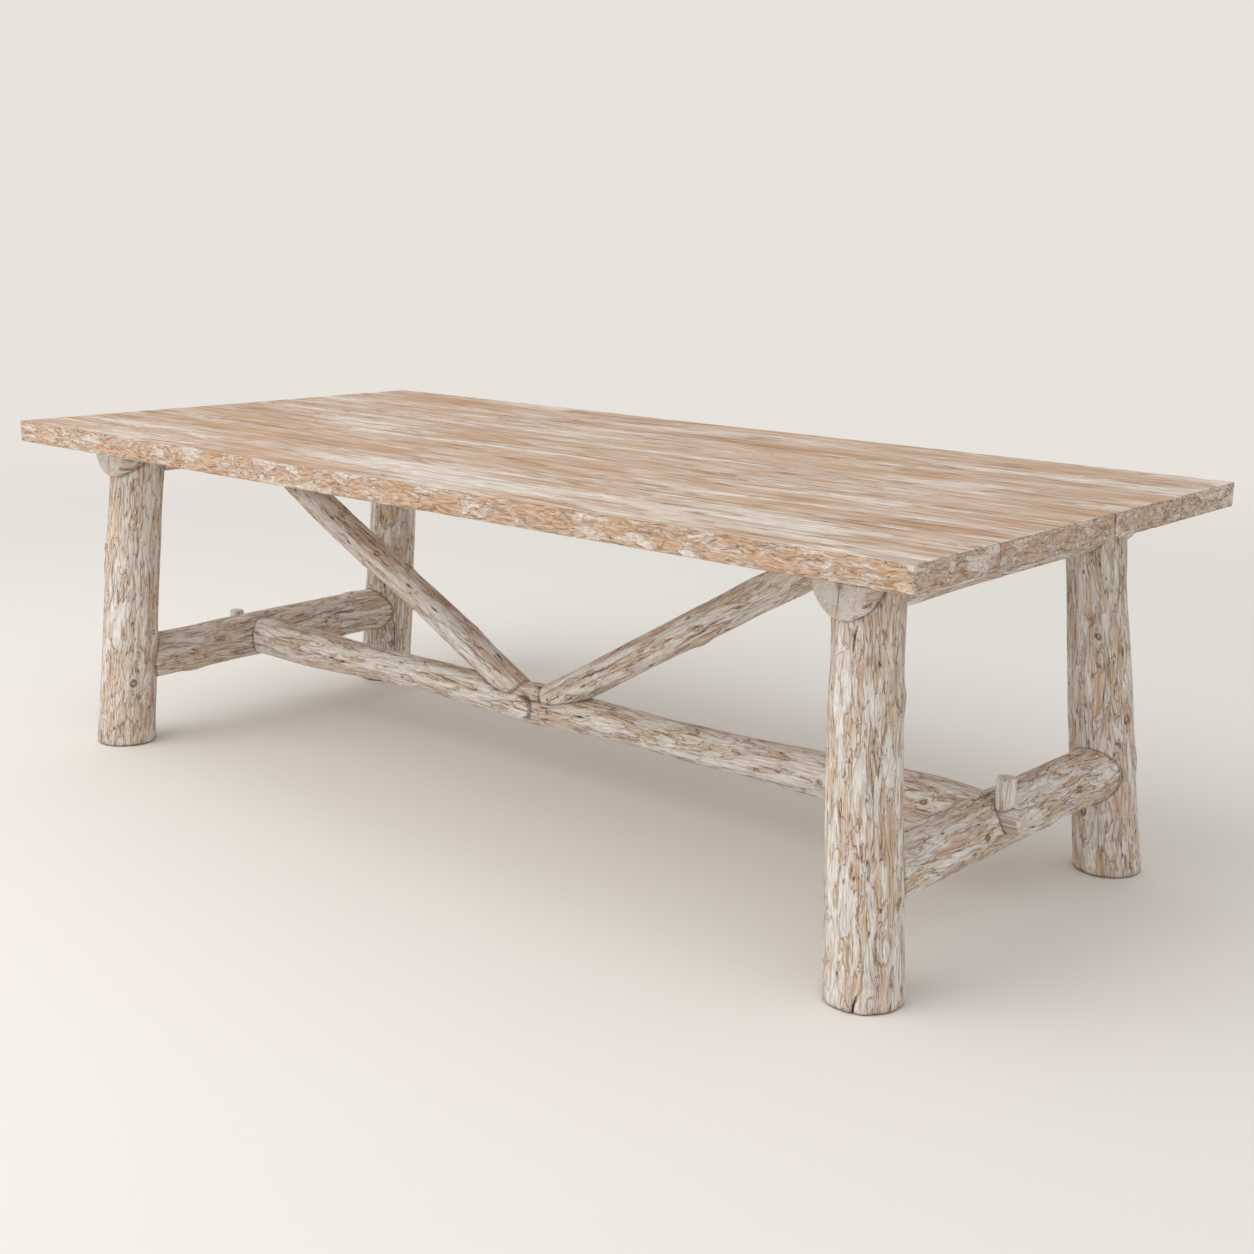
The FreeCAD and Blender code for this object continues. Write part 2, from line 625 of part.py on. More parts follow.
# Long stretcher: one log, coped at both ends, with its tenons and branch stub.
members = [cut("long_stretcher_coped", long_log, [end_tool["left"], end_tool["right"]]), knot_log]
for end, end_sign in ends:
    root = f"(size.{end}_crossing_x - size.end_stretcher_diameter)"
    reach = f"size.{end}_tenon_reach"
    tenon = bar(f"{end}_long_tenon_bar", "X", "size.long_tenon_diameter", f"{reach} - {root}",
                root if end == "right" else f"-{reach}", "size.stretcher_side_shift",
                f"size.{end}_long_height")
    members.append(cut(f"{end}_long_tenon", tenon, [peg_holes[end]]))
members.append(bar("branch_stub", "Y", "size.stub_diameter", "size.knot_diameter / 2 + size.stub_length",
                   "size.knot_shift", "size.stretcher_side_shift - size.knot_diameter / 2 - size.stub_length",
                   "size.long_height"))
whole = fuse("long_stretcher_solid", members)
nodes.append(cut("long_stretcher", whole, [nail_holes["left"], nail_holes["right"]]))

# Braces: upright rings across a slanting log, taller than wide by the slope.
brace_shape = [
    ("start", "size.brace_foot_diameter", 0.0),
    (0.30, "size.brace_waist_diameter", 1.0),
    (0.62, "size.brace_waist_diameter", -1.0),
    (0.90, "size.brace_head_diameter", 0.0),
    (1.15, "size.brace_head_diameter", 0.0),
]
past_bearer = make("Part::Box", "past_bearer", block(
    "size.left_brace_head_x", "size.top_width", "2 * size.top_height",
    "-size.left_bearer_x - size.left_brace_head_x", "-size.top_width / 2", "0"))
brace_tools = {
    "left": [long_tool, knot_tool, top_space, bearer_tool["left"], past_bearer],
    "right": [long_tool, knot_tool, top_space],
}
for end, end_sign in ends:
    run = f"size.{end}_brace_run"
    slant = f"sqrt(1 + (size.brace_rise / {run})^2)"
    rings = []
    for share, diameter, stray in brace_shape:
        if share == "start":
            share = f"(size.brace_start - size.brace_foot_spread) / {run}"
        rings.append((f"size.knot_shift + {end_sign} * (size.brace_foot_spread + {share} * {run})",
                      f"size.stretcher_side_shift + {stray} * size.brace_wander",
                      f"size.long_height + {share} * size.brace_rise + {stray} * size.brace_wander",
                      f"{diameter} * {slant}", diameter))
    brace_log = log(f"{end}_brace_log", "X", rings)
    nodes.append(cut(f"{end}_brace", brace_log,
                     [*brace_tools[end], brace_screw_holes[end], nail_holes[end]]))

doc.recompute()

for item in doc.Objects:
    if "Invalid" in item.State or "Error" in item.State:
        raise RuntimeError(f"{item.Label} failed: {item.State}")
for node in nodes:
    solids = len(node.Links) if node.TypeId == "Part::Compound" else 1
    if node.Shape.isNull() or not node.Shape.isValid() or len(node.Shape.Solids) != solids:
        raise RuntimeError(f"{node.Label} has no sound shape")

os.makedirs("parts", exist_ok=True)
for node in nodes:
    node.Shape.exportStep(f"parts/{node.Label}.step")
    print(f"{node.Label}: {len(node.Shape.Solids)} solid(s), {node.Shape.Volume / 1000:.1f} cm3")
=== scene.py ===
import bpy
import math
import numpy as np
from mathutils import Matrix, Vector


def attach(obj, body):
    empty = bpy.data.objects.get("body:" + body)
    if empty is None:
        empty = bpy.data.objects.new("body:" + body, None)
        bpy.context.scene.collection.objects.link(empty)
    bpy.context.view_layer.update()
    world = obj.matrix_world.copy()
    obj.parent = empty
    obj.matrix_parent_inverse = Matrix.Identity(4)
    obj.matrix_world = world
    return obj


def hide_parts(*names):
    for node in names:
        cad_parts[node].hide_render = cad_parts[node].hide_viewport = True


# Log dining table in limed teak: boards, hewn logs, tusk pegs. Metres, in the frame of the CAD model.
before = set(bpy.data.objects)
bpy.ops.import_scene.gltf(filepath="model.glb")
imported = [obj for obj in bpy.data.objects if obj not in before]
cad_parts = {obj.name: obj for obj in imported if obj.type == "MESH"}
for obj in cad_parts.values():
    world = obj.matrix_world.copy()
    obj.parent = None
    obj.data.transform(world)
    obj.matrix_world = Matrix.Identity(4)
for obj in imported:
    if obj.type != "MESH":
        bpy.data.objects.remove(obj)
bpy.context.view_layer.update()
print("stage 1: frame loaded,", len(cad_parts), "nodes")


def linear(hexColour):
    # sRGB hex to the linear colour that the shaders take
    parts = [int(hexColour[i:i + 2], 16) / 255 for i in (1, 3, 5)]
    return [p / 12.92 if p <= 0.04045 else ((p + 0.055) / 1.055) ** 2.4 for p in parts] + [1.0]


def addNode(tree, kind, settings=None):
    # settings name a property, an input or the stops of a ramp; another node's output is linked
    node = tree.nodes.new("ShaderNode" + kind)
    for key, value in (settings or {}).items():
        if key == "stops":
            value = list(value)
            while len(node.color_ramp.elements) < len(value):
                node.color_ramp.elements.new(0.5)
            for element, (stop, colour) in zip(node.color_ramp.elements, value):
                element.position = stop
                element.color = linear(colour)
        elif isinstance(value, bpy.types.NodeSocket):
            tree.links.new(value, node.inputs[key])
        elif isinstance(key, str) and hasattr(node, key):
            setattr(node, key, value)
        else:
            node.inputs[key].default_value = value
    return node


def maths(tree, operation, *terms, clamp=False):
    settings = {"operation": operation, "use_clamp": clamp, **dict(enumerate(terms))}
    return addNode(tree, "Math", settings).outputs[0]


def mapped(tree, value, start, stop, low=0.0, high=1.0, kind="LINEAR"):
    # a value that runs from start to stop is made to run from low to high
    return addNode(tree, "MapRange", {"interpolation_type": kind, "Value": value, "From Min": start,
                                      "From Max": stop, "To Min": low, "To Max": high}).outputs[0]


def mixed(tree, share, under, over):
    return addNode(tree, "Mix", {"data_type": "RGBA", 0: share, 6: under, 7: over}).outputs[2]


hashPrimes = np.array([374761393, 668265263, 1440662683])   # one for each axis of the lattice
hashSeed, hashTurn, hashMask = 69069, 1274126177, 0xffffffff
octaveShift = 17.3   # cells between the patterns of two octaves
grainShift = (2, 9)   # metres by which each piece's grain is moved, from and to


def latticeNoise(places, seed):
    # smooth noise from -1 to 1, one value for each row of places, in cells
    cell = np.floor(places).astype(np.int64)
    part = places - cell
    part = part * part * (3 - 2 * part)
    total = np.zeros(len(places))
    for corner in range(8):
        step = np.array([corner & 1, corner >> 1 & 1, corner >> 2 & 1])
        key = (((cell + step) * hashPrimes).sum(1) + seed * hashSeed) & hashMask
        key = ((key ^ (key >> 13)) * hashTurn) & hashMask
        key = key ^ (key >> 16)
        weight = np.prod(np.where(step, part, 1 - part), axis=1)
        total += weight * ((key & 0xffff) / 32767.5 - 1)
    return total


def grainNoise(places, across, along, seed, octaves=1):
    # noise drawn out along the grain: across and along are the sizes of its cells in metres
    total = 0
    scale = np.array([across, across, along])
    for octave in range(octaves):
        fine = 2 ** octave
        total = total + latticeNoise(places / scale * fine + octaveShift * octave, seed + octave) / fine
    return total


def smooth(low, high, values):
    share = np.clip((values - low) / (high - low), 0, 1)
    return share * share * (3 - 2 * share)


def makeObject(name, points, faces):
    mesh = bpy.data.meshes.new(name)
    mesh.from_pydata(points.tolist(), [], faces)
    mesh.update()
    piece = bpy.data.objects.new(name, mesh)
    bpy.context.scene.collection.objects.link(piece)
    return piece


def readRows(items, key):
    flat = np.empty(len(items) * 3)
    items.foreach_get(key, flat)
    return flat.reshape(-1, 3)


def paint(piece, name, values):
    # a value or a vector for each point, for the materials
    vector = values.ndim == 2
    layer = piece.data.attributes.new(name, "FLOAT_VECTOR" if vector else "FLOAT", "POINT")
    layer.data.foreach_set("vector" if vector else "value", values.astype(np.float32).ravel())


def carve(piece, cutters, operation="DIFFERENCE"):
    for cutter in cutters:
        tool = piece.modifiers.new("carve", "BOOLEAN")
        tool.operation = operation
        tool.solver = "MANIFOLD"
        tool.object = cutter
    depsgraph = bpy.context.evaluated_depsgraph_get()
    result = bpy.data.meshes.new_from_object(piece.evaluated_get(depsgraph))
    piece.modifiers.clear()
    old = piece.data
    piece.data = result
    bpy.data.meshes.remove(old)


def soften(piece, angle=48):
    piece.data.shade_smooth()
    piece.data.set_sharp_from_angle(angle=math.radians(angle))


def finishPiece(piece, node, body):
    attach(piece, body)
    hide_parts(node)


# in all limed teak: where lines fade in on the fibres, full core of a dash and of a pit, dry lime's gloss
limeShade = {"lineFrom": 0.38, "lineTo": 0.6, "faintLine": 0.35, "dashCore": 0.6, "pitCore": 0.2,
             "ior": 1.46, "sheen": 0.25}
rampStops = (0.35, 0.5, 0.65)   # where the shades of wood and chalk stand


def limedTeak(name, look, placed="grain"):
    # Limed teak: weathered wood washed with lime and rubbed back. Its surface gives the eye tan wood and
    # chalky white in patches drawn out along the grain, thin brown lines of figure, dark pits and dashes
    # of thick lime.
    material = bpy.data.materials.new(name)
    material.use_nodes = True
    tree = material.node_tree
    shader = tree.nodes["Principled BSDF"]
    if placed == "object":
        place = addNode(tree, "TexCoord").outputs["Object"]
    else:
        place = addNode(tree, "Attribute", {"attribute_name": placed}).outputs["Vector"]
    # the second attribute holds the checks, knot rims and board seams, and the painted shadow lines at log
    # joints and leg feet
    limeLayer, checks = (addNode(tree, "Attribute", {"attribute_name": layer}).outputs["Fac"]
                         for layer in ("lime", "check"))

    def cells(pattern, source):
        # places counted in the cells of a pattern
        scale = [1000 / mm for mm in look[pattern + "Mm"]]
        return addNode(tree, "Mapping", {"Scale": scale, "Vector": source}).outputs[0]

    def noise(pattern, source, **settings):
        settings = {"Scale": 1.0, "Vector": cells(pattern, source), **settings}
        return addNode(tree, "TexNoise", settings).outputs

    def spots(pattern, core):
        # spots in some of the cells: whether this cell has one, and how near its middle is
        spot = addNode(tree, "TexVoronoi",
                       {"Scale": 1.0, "Randomness": 1.0, "Vector": cells(pattern, wander)})
        size = look[pattern + "Size"]
        return (maths(tree, "GREATER_THAN", spot.outputs["Color"], look[pattern + "Chance"]),
                mapped(tree, spot.outputs["Distance"], size * core, size, 1.0, 0.0))

    # the grain wanders: a slow noise pushes the places about before the patterns read them
    bend = noise("bend", place, Detail=1.0)
    centred = addNode(tree, "VectorMath",
                      {"operation": "SUBTRACT", 0: bend["Color"], 1: (0.5, 0.5, 0.5)}).outputs[0]
    bendBy = [mm / 1000 for mm in look["bendByMm"]]
    wander = addNode(tree, "VectorMath",
                     {"operation": "MULTIPLY_ADD", 0: centred, 1: bendBy, 2: place}).outputs[0]
    patch = noise("patch", wander, Detail=4.0, Roughness=look["patchRough"],
                  Distortion=look["patchTwist"])["Fac"]
    streak = noise("streak", wander, Detail=3.0, Roughness=0.55)["Fac"]
    fibre = noise("fibre", wander, Detail=2.0, Roughness=0.6)["Fac"]
    figure = noise("figure", wander, Detail=1.5, Roughness=0.45, Distortion=0.5)["Fac"]

    # how much lime is left: patches, the shape's own flakes, slow zones, streaks and fibres added up
    layered = maths(tree, "MULTIPLY_ADD", limeLayer, look["layerShare"], patch)
    zoned = maths(tree, "MULTIPLY_ADD", bend["Fac"], look["zoneShare"], layered)
    streaked = maths(tree, "MULTIPLY_ADD", streak, look["streakShare"], zoned)
    fibred = maths(tree, "MULTIPLY_ADD", fibre, look["fibreShare"], streaked)
    middle, width = look["limeEdge"]
    limeLeft = mapped(tree, fibred, middle - width, middle + width, kind="SMOOTHSTEP")
    wood = addNode(tree, "ValToRGB", {"stops": zip(rampStops, look["wood"]), "Fac": streak}).outputs["Color"]
    chalk = addNode(tree, "ValToRGB", {"stops": zip(rampStops, look["chalk"]), "Fac": fibre}).outputs["Color"]
    colour = mixed(tree, limeLeft, wood, chalk)

    # thin brown lines: the figure of the grain, which comes and goes, and the rims of the patches
    wave = maths(tree, "MULTIPLY", figure, look["figureLines"])
    fold = maths(tree, "PINGPONG", wave, 0.5)
    figureLine = mapped(tree, fold, 0.0, look["figureWidth"], look["figureShare"], 0.0)
    comes = mapped(tree, fibre, limeShade["lineFrom"], limeShade["lineTo"], limeShade["faintLine"], 1.0)
    onLime = mapped(tree, limeLeft, 0.0, 1.0, 1.0, look["lineOnLime"])
    gate = maths(tree, "MULTIPLY", comes, onLime)
    smoothMiddle = middle - 0.5 * (look["streakShare"] + look["fibreShare"])
    rimAway = maths(tree, "ABSOLUTE", maths(tree, "SUBTRACT", zoned, smoothMiddle))
    rim = mapped(tree, rimAway, 0.0, look["rimWidth"], look["rimShare"], 0.0)
    lines = maths(tree, "MULTIPLY_ADD", figureLine, gate, rim, clamp=True)
    colour = mixed(tree, lines, colour, linear(look["brown"]))

    # dashes of thick lime, then pits, and the checks together with the painted shadow lines at log joints and
    # leg feet
    dashes = maths(tree, "MULTIPLY", *spots("dash", limeShade["dashCore"]))
    colour = mixed(tree, dashes, colour, linear(look["white"]))
    marks = maths(tree, "MULTIPLY_ADD", *spots("pit", limeShade["pitCore"]), checks, clamp=True)
    colour = mixed(tree, marks, colour, linear(look["dark"]))
    tree.links.new(colour, shader.inputs["Base Color"])
    tree.links.new(mapped(tree, limeLeft, 0.0, 1.0, *look["rough"]), shader.inputs["Roughness"])
    shader.inputs["IOR"].default_value = limeShade["ior"]
    shader.inputs["Specular IOR Level"].default_value = limeShade["sheen"]

    # relief: lime and dashes stand proud, streaks and fibres ripple, lines, pits and checks are cut in, and so
    # are the painted shadow lines
    relief = maths(tree, "ADD", limeLeft, dashes)
    relief = maths(tree, "MULTIPLY_ADD", streak, look["streakRelief"], relief)
    relief = maths(tree, "MULTIPLY_ADD", fibre, look["fibreRelief"], relief)
    for cut in (lines, marks):
        relief = maths(tree, "SUBTRACT", relief, cut)
    bump = addNode(tree, "Bump",
                   {"Strength": look["bump"], "Distance": look["reliefDepth"], "Height": relief})
    tree.links.new(bump.outputs[0], shader.inputs["Normal"])
    return material


# sizes of the patterns in millimetres: across, across and along the grain; on boards across, up and along
hewnLook = {   # round logs, drawknifed
    "bendMm": (38, 38, 110), "bendByMm": (22, 22, 44),
    "patchMm": (15, 15, 96), "patchRough": 0.6, "patchTwist": 0.6,
    "streakMm": (3.8, 3.8, 70), "fibreMm": (2.3, 2.3, 26), "figureMm": (19, 19, 130),
    "pitMm": (17, 17, 42), "dashMm": (14, 14, 52),
    "layerShare": 0.1, "zoneShare": 0.25, "streakShare": 0.45, "fibreShare": 0.3, "limeEdge": (1.02, 0.24),
    "figureLines": 4.2, "figureWidth": 0.12, "figureShare": 0.9, "lineOnLime": 0.75,
    "rimWidth": 0.018, "rimShare": 0.75,
    "dashSize": 0.13, "dashChance": 0.35, "pitSize": 0.18, "pitChance": 0.5,
    "wood": ("#c2a080", "#d6ba9e", "#e3d1bc"), "chalk": ("#d9d2cb", "#e8e3de", "#f5f3f0"),
    "brown": "#835c3f", "dark": "#5c402c", "white": "#f6f5f3", "rough": (0.72, 0.9),
    "streakRelief": 0.6, "fibreRelief": 0.8, "bump": 0.75, "reliefDepth": 0.002,
}
slimLook = {   # long stretcher and braces: longer, calmer grain
    **hewnLook, "bendByMm": (15, 15, 44), "patchMm": (16, 16, 120), "streakMm": (3.8, 3.8, 80),
    "figureMm": (19, 19, 165), "pitMm": (22, 22, 80), "limeEdge": (0.98, 0.24),
}
boardLook = {   # the top's upper face, brushed flat: soft smears, a few sharp scratches of lime
    "bendMm": (120, 120, 700), "bendByMm": (34, 10, 120),
    "patchMm": (60, 60, 420), "patchRough": 0.62, "patchTwist": 0.3,
    "streakMm": (8, 8, 140), "fibreMm": (5, 5, 45), "figureMm": (60, 60, 700),
    "pitMm": (44, 44, 220), "dashMm": (30, 30, 420),
    "layerShare": 0.2, "zoneShare": 0.8, "streakShare": 0.46, "fibreShare": 0.3, "limeEdge": (1.44, 0.28),
    "figureLines": 5.0, "figureWidth": 0.12, "figureShare": 0.95, "lineOnLime": 0.7,
    "rimWidth": 0.02, "rimShare": 0.5,
    "dashSize": 0.12, "dashChance": 0.35, "pitSize": 0.1, "pitChance": 0.5,
    "wood": ("#a98466", "#bb997b", "#c9ae94"), "chalk": ("#cabdb1", "#d9cfc6", "#e9e3dd"),
    "brown": "#8d6647", "dark": "#74543c", "white": "#e9e3dc", "rough": (0.55, 0.75),
    "streakRelief": 0.5, "fibreRelief": 0.1, "bump": 0.25, "reliefDepth": 0.001,
}
edgeLook = {   # the top's long edges, gouged: curly scribble of white and brown over tan
    "bendMm": (60, 26, 60), "bendByMm": (30, 18, 30),
    "patchMm": (60, 20, 95), "patchRough": 0.62, "patchTwist": 0.9,
    "streakMm": (14, 4, 24), "fibreMm": (6, 3, 9), "figureMm": (40, 13, 70),
    "pitMm": (24, 16, 24), "dashMm": (26, 12, 26),
    "layerShare": 0.08, "zoneShare": 0.4, "streakShare": 0.35, "fibreShare": 0.25, "limeEdge": (1.08, 0.24),
    "figureLines": 4.0, "figureWidth": 0.13, "figureShare": 0.9, "lineOnLime": 0.6,
    "rimWidth": 0.02, "rimShare": 0.6,
    "dashSize": 0.14, "dashChance": 0.4, "pitSize": 0.16, "pitChance": 0.55,
    "wood": ("#b48a67", "#c4a081", "#d1b69b"), "chalk": ("#cdc0b4", "#dad0c6", "#e8e1da"),
    "brown": "#85603f", "dark": "#664730", "white": "#f5f2ee", "rough": (0.7, 0.9),
    "streakRelief": 0.6, "fibreRelief": 0.3, "bump": 0.6, "reliefDepth": 0.0018,
}
boardEndLook = {**edgeLook, "limeEdge": (1.05, 0.24), "figureMm": (60, 16, 60),
                "wood": ("#ac8c71", "#bda085", "#cbb39c")}   # sawn across, greyer
sawnLook = {   # sawn ends of the logs: pale, fine pores
    **hewnLook, "bendMm": (40, 40, 40), "bendByMm": (14, 14, 14), "patchMm": (34, 34, 34),
    "streakMm": (10, 10, 10), "fibreMm": (3, 3, 3), "figureMm": (46, 46, 46),
    "pitMm": (7, 7, 7), "dashMm": (12, 12, 12),
    "zoneShare": 0.2, "streakShare": 0.3, "fibreShare": 0.2, "limeEdge": (0.8, 0.2),
    "figureLines": 6.0, "figureWidth": 0.1, "figureShare": 0.3, "lineOnLime": 0.7,
    "rimWidth": 0.01, "rimShare": 0.1,
    "dashSize": 0.1, "dashChance": 0.6, "pitSize": 0.2, "pitChance": 0.45,
    "wood": ("#c0ad9b", "#ccbcac", "#d6c9bc"), "chalk": ("#cfc7be", "#dad4cc", "#e4dfd9"),
    "brown": "#937a65", "dark": "#7d6755", "white": "#ebe7e2", "rough": (0.75, 0.9),
    "streakRelief": 0.3, "fibreRelief": 0.4, "bump": 0.4, "reliefDepth": 0.0012,
}
# loose tongues run along X
tongueLook = {key: value[2:] + value[:2] if key.endswith("Mm") else value for key, value in boardLook.items()}
logTeak = limedTeak("limed teak, hewn log", hewnLook)
slimTeak = limedTeak("limed teak, slim log", slimLook)
boardTeak = limedTeak("limed teak, brushed board", boardLook)
edgeTeak = limedTeak("limed teak, gouged edge", edgeLook)
boardEndTeak = limedTeak("limed teak, board end", boardEndLook)
sawnTeak = limedTeak("limed teak, sawn log end", sawnLook)
tongueTeak = limedTeak("limed teak, loose tongue", tongueLook, "object")

# Zinc-plated steel screws and nails: turned and plated, a dull grey shine with fine turning marks.
steelLook = {"shades": [(0.3, "#7c7d7f"), (0.7, "#b4b5b6")], "markMm": 0.8, "markDetail": 3.0,
             "rough": (0.3, 0.5)}
steel = bpy.data.materials.new("zinc plated steel")
steel.use_nodes = True
steelTree = steel.node_tree
steelShader = steelTree.nodes["Principled BSDF"]
steelShader.inputs["Metallic"].default_value = 1.0
steelPlace = addNode(steelTree, "TexCoord").outputs["Object"]
steelMarks = addNode(steelTree, "TexNoise",
                     {"Scale": 1000 / steelLook["markMm"], "Detail": steelLook["markDetail"],
                      "Vector": steelPlace}).outputs["Fac"]
steelColour = addNode(steelTree, "ValToRGB", {"stops": steelLook["shades"], "Fac": steelMarks})
steelTree.links.new(steelColour.outputs["Color"], steelShader.inputs["Base Color"])
steelRough = mapped(steelTree, steelMarks, 0.0, 1.0, *steelLook["rough"])
steelTree.links.new(steelRough, steelShader.inputs["Roughness"])
print("stage 2: materials made")

# the table's half length, front, and the boards' lower and upper face; logs are sawn just clear of the boards
tableLook = {"half": 1.2, "front": -0.6, "under": 0.732, "upper": 0.780, "clear": 0.0003}
sawnUnder = tableLook["under"] - tableLook["clear"]
logSkin = {   # relief of a drawknifed log in metres, with sizes across and along the grain
    "sway": 0.003, "ripple": 0.0015, "flake": 0.0008, "furrow": 0.0007,
    "swaySize": (0.07, 0.2), "rippleSize": (0.028, 0.09), "furrowSize": (0.014, 0.22),
    "furrowEdge": (0.75, 1.0), "flakeSize": (0.024, 0.13), "flakeEdge": (-0.12, 0.1),
    "chipSize": (0.01, 0.035), "chipShare": 0.35, "seedShift": 3.7, "endReach": 0.012,
    # checks: drift as turn and pitch, slow and quick
    "checkWidth": 0.0016, "checkDepth": 0.004, "checkTaper": 0.6, "slowDrift": (0.1, 23),
    "quickDrift": (0.04, 71), "driftPhase": 40,
    # knots: a ringed swelling with an eye, a dark rim and the lime rubbed off
    "knotRise": 0.28, "knotLong": 0.75, "ringRise": 0.25, "ringPitch": 14, "eyeDip": 0.3, "eyePitch": 2.6,
    "rimAt": 0.3, "rimShade": 0.6, "rimWidth": 0.1, "rubbed": 0.5, "rubbedPitch": 0.9,
    # dark lines as shade and width: painted shadow with dust where logs meet, cracks in sawn ends, painted
    # shadow round the foot where it stands on the floor
    "jointLine": (0.6, 0.0024), "splitLine": (0.9, 0.0011), "splitDeep": 0.0005, "footShadowLine": (0.7, 0.0035),
    "slim": 0.05, "sawnFacing": 0.86,
}
# chance marks: place as a share of the length, length or size, depth
markRange = {"checks": ((0.02, 0.9), (0.06, 0.22), (0.45, 0.9)), "knots": ((0.06, 0.94), (0.011, 0.02))}


def makeMarks(seed, length, look):
    # checks and knots: turn round the log, place along it, length or size, depth
    chance = np.random.default_rng(seed)
    marks = {}
    for kind, (place, *sizes) in markRange.items():
        marks[kind] = [(chance.uniform(-math.pi, math.pi), chance.uniform(*place) * length,
                        *[chance.uniform(*size) for size in sizes]) for number in range(look[kind])]
    return marks


def makeLog(look, seed, centres, radii, axes, marks):
    # what logGrid and paintLog read of a log
    return {"rounding": (0.004, 0.004), "relief": 1.0, "paintedFootShadow": False, "split": (), **look, "seed": seed,
            "centres": centres, "radii": radii, "axes": axes, "marks": marks}


def wrapped(turn):
    return (turn + math.pi) % (2 * math.pi) - math.pi


def darkLine(away, shade, width):
    return shade * np.exp(-(away / width) ** 2)


def lengthAlong(centres):
    return np.concatenate([[0], np.cumsum(np.linalg.norm(np.diff(centres, axis=0), axis=1))])


def logSurface(turn, along, log):
    # height of the skin over the plain log, lime left on it, and how deep it is in a check
    look, radius, seed = logSkin, log["round"], log["seed"]
    places = np.stack([np.cos(turn) * radius, np.sin(turn) * radius, along], axis=1)
    places = places + seed * look["seedShift"]
    flakes = (grainNoise(places, *look["flakeSize"], seed + 11, 2)
              + look["chipShare"] * grainNoise(places, *look["chipSize"], seed + 13))
    lime = smooth(*look["flakeEdge"], flakes)
    furrows = 1 - np.abs(grainNoise(places, *look["furrowSize"], seed + 17, 2))
    height = (look["sway"] * grainNoise(places, *look["swaySize"], seed + 1)
              + look["ripple"] * grainNoise(places, *look["rippleSize"], seed + 5)
              + look["flake"] * (lime - 0.5)
              - look["furrow"] * smooth(*look["furrowEdge"], furrows))
    check = np.zeros(len(turn))
    (slow, slowPitch), (quick, quickPitch) = look["slowDrift"], look["quickDrift"]
    for checkTurn, start, length, depth in log["marks"]["checks"]:
        drift = (slow * np.sin(along * slowPitch + checkTurn)
                 + quick * np.sin(along * quickPitch + start * look["driftPhase"]))
        away = wrapped(turn - checkTurn - drift)
        run = (along - start) / length
        taper = np.clip(4 * run * (1 - run), 0, 1) ** look["checkTaper"] * (run > 0) * (run < 1)
        check = np.maximum(check, np.exp(-(away * radius / look["checkWidth"]) ** 2) * taper * depth)
    for knotTurn, place, size in log["marks"]["knots"]:
        away = wrapped(turn - knotTurn)
        far = np.sqrt((away * radius) ** 2 + (look["knotLong"] * (along - place)) ** 2) / size
        ringed = 1 + look["ringRise"] * np.sin(far * look["ringPitch"])
        height += look["knotRise"] * size * np.exp(-far ** 2) * ringed
        height -= look["eyeDip"] * size * np.exp(-(far * look["eyePitch"]) ** 2)
        check = np.maximum(check, darkLine(far - look["rimAt"], look["rimShade"], look["rimWidth"]))
        lime = lime * (1 - look["rubbed"] * np.exp(-(far * look["rubbedPitch"]) ** 2))
    return height - look["checkDepth"] * check, lime, check


capShares = [0.985, 0.93, 0.8, 0.6, 0.4, 0.2]   # rings of a sawn end, from its rim inwards


def logGrid(name, log):
    # one closed log: sawn end, side rings, sawn end
    centres, around = log["centres"], log["around"]
    first, second = (np.array(axis, float) for axis in log["axes"])
    turn = np.linspace(-math.pi, math.pi, around, endpoint=False)
    ray = np.cos(turn)[:, None] * first + np.sin(turn)[:, None] * second
    along = lengthAlong(centres)
    height = logSurface(np.tile(turn, len(along)), np.repeat(along, around), log)[0]
    height = height.reshape(len(along), around) * log["relief"]
    ends = [np.clip(away / logSkin["endReach"], 0, 1) for away in (along, along[-1] - along)]
    worn = sum(size * (1 - np.sqrt(np.clip(1 - (1 - share) ** 2, 0, 1)))
               for size, share in zip(log["rounding"], ends))
    reach = log["radii"][:, None] + height - worn[:, None]
    rings = [centres[i] + reach[i][:, None] * ray for i in range(len(along))]
    startCap = [centres[0] + share * reach[0][:, None] * ray for share in reversed(capShares)]
    endCap = [centres[-1] + share * reach[-1][:, None] * ray for share in capShares]
    stack = startCap + rings + endCap
    points = np.concatenate(stack + [centres[:1], centres[-1:]])
    count = len(stack)
    faces = []
    for i in range(count - 1):
        low, high = i * around, (i + 1) * around
        faces += [(low + j, low + (j + 1) % around, high + (j + 1) % around, high + j) for j in range(around)]
    last = (count - 1) * around
    faces += [(count * around, (j + 1) % around, j) for j in range(around)]
    faces += [(count * around + 1, last + j, last + (j + 1) % around) for j in range(around)]
    return makeObject(name, points, faces)


def ringLine(rings, count):
    # smooth centres and radii through rings of (share, x, y, z, diameter)
    rings = np.array(rings, float)
    share = np.linspace(rings[0, 0], rings[-1, 0], count)
    columns = []
    for column in range(1, 5):
        values = np.interp(share, rings[:, 0], rings[:, column])
        width = max(3, count // 9) | 1   # odd, about a ninth of the rows
        padded = np.pad(values, width // 2, mode="reflect", reflect_type="odd")
        columns.append(np.convolve(padded, np.ones(width) / width, mode="valid"))
    return np.stack(columns[:3], axis=1), columns[3] / 2


def logPlaces(points, log):
    # places of points on a log: to its two sides, along it, and how far they are from its skin
    centres = log["centres"]
    first, second = (np.array(axis, float) for axis in log["axes"])
    normal = np.cross(first, second)
    steps = lengthAlong(centres)
    along = np.interp(points @ normal, centres @ normal, steps)
    off = points - np.stack([np.interp(along, steps, centres[:, k]) for k in range(3)], axis=1)
    side, up = off @ first, off @ second
    radius = np.interp(along, steps, log["radii"])
    return side, up, along, np.hypot(np.hypot(side, up) - radius, off @ normal)


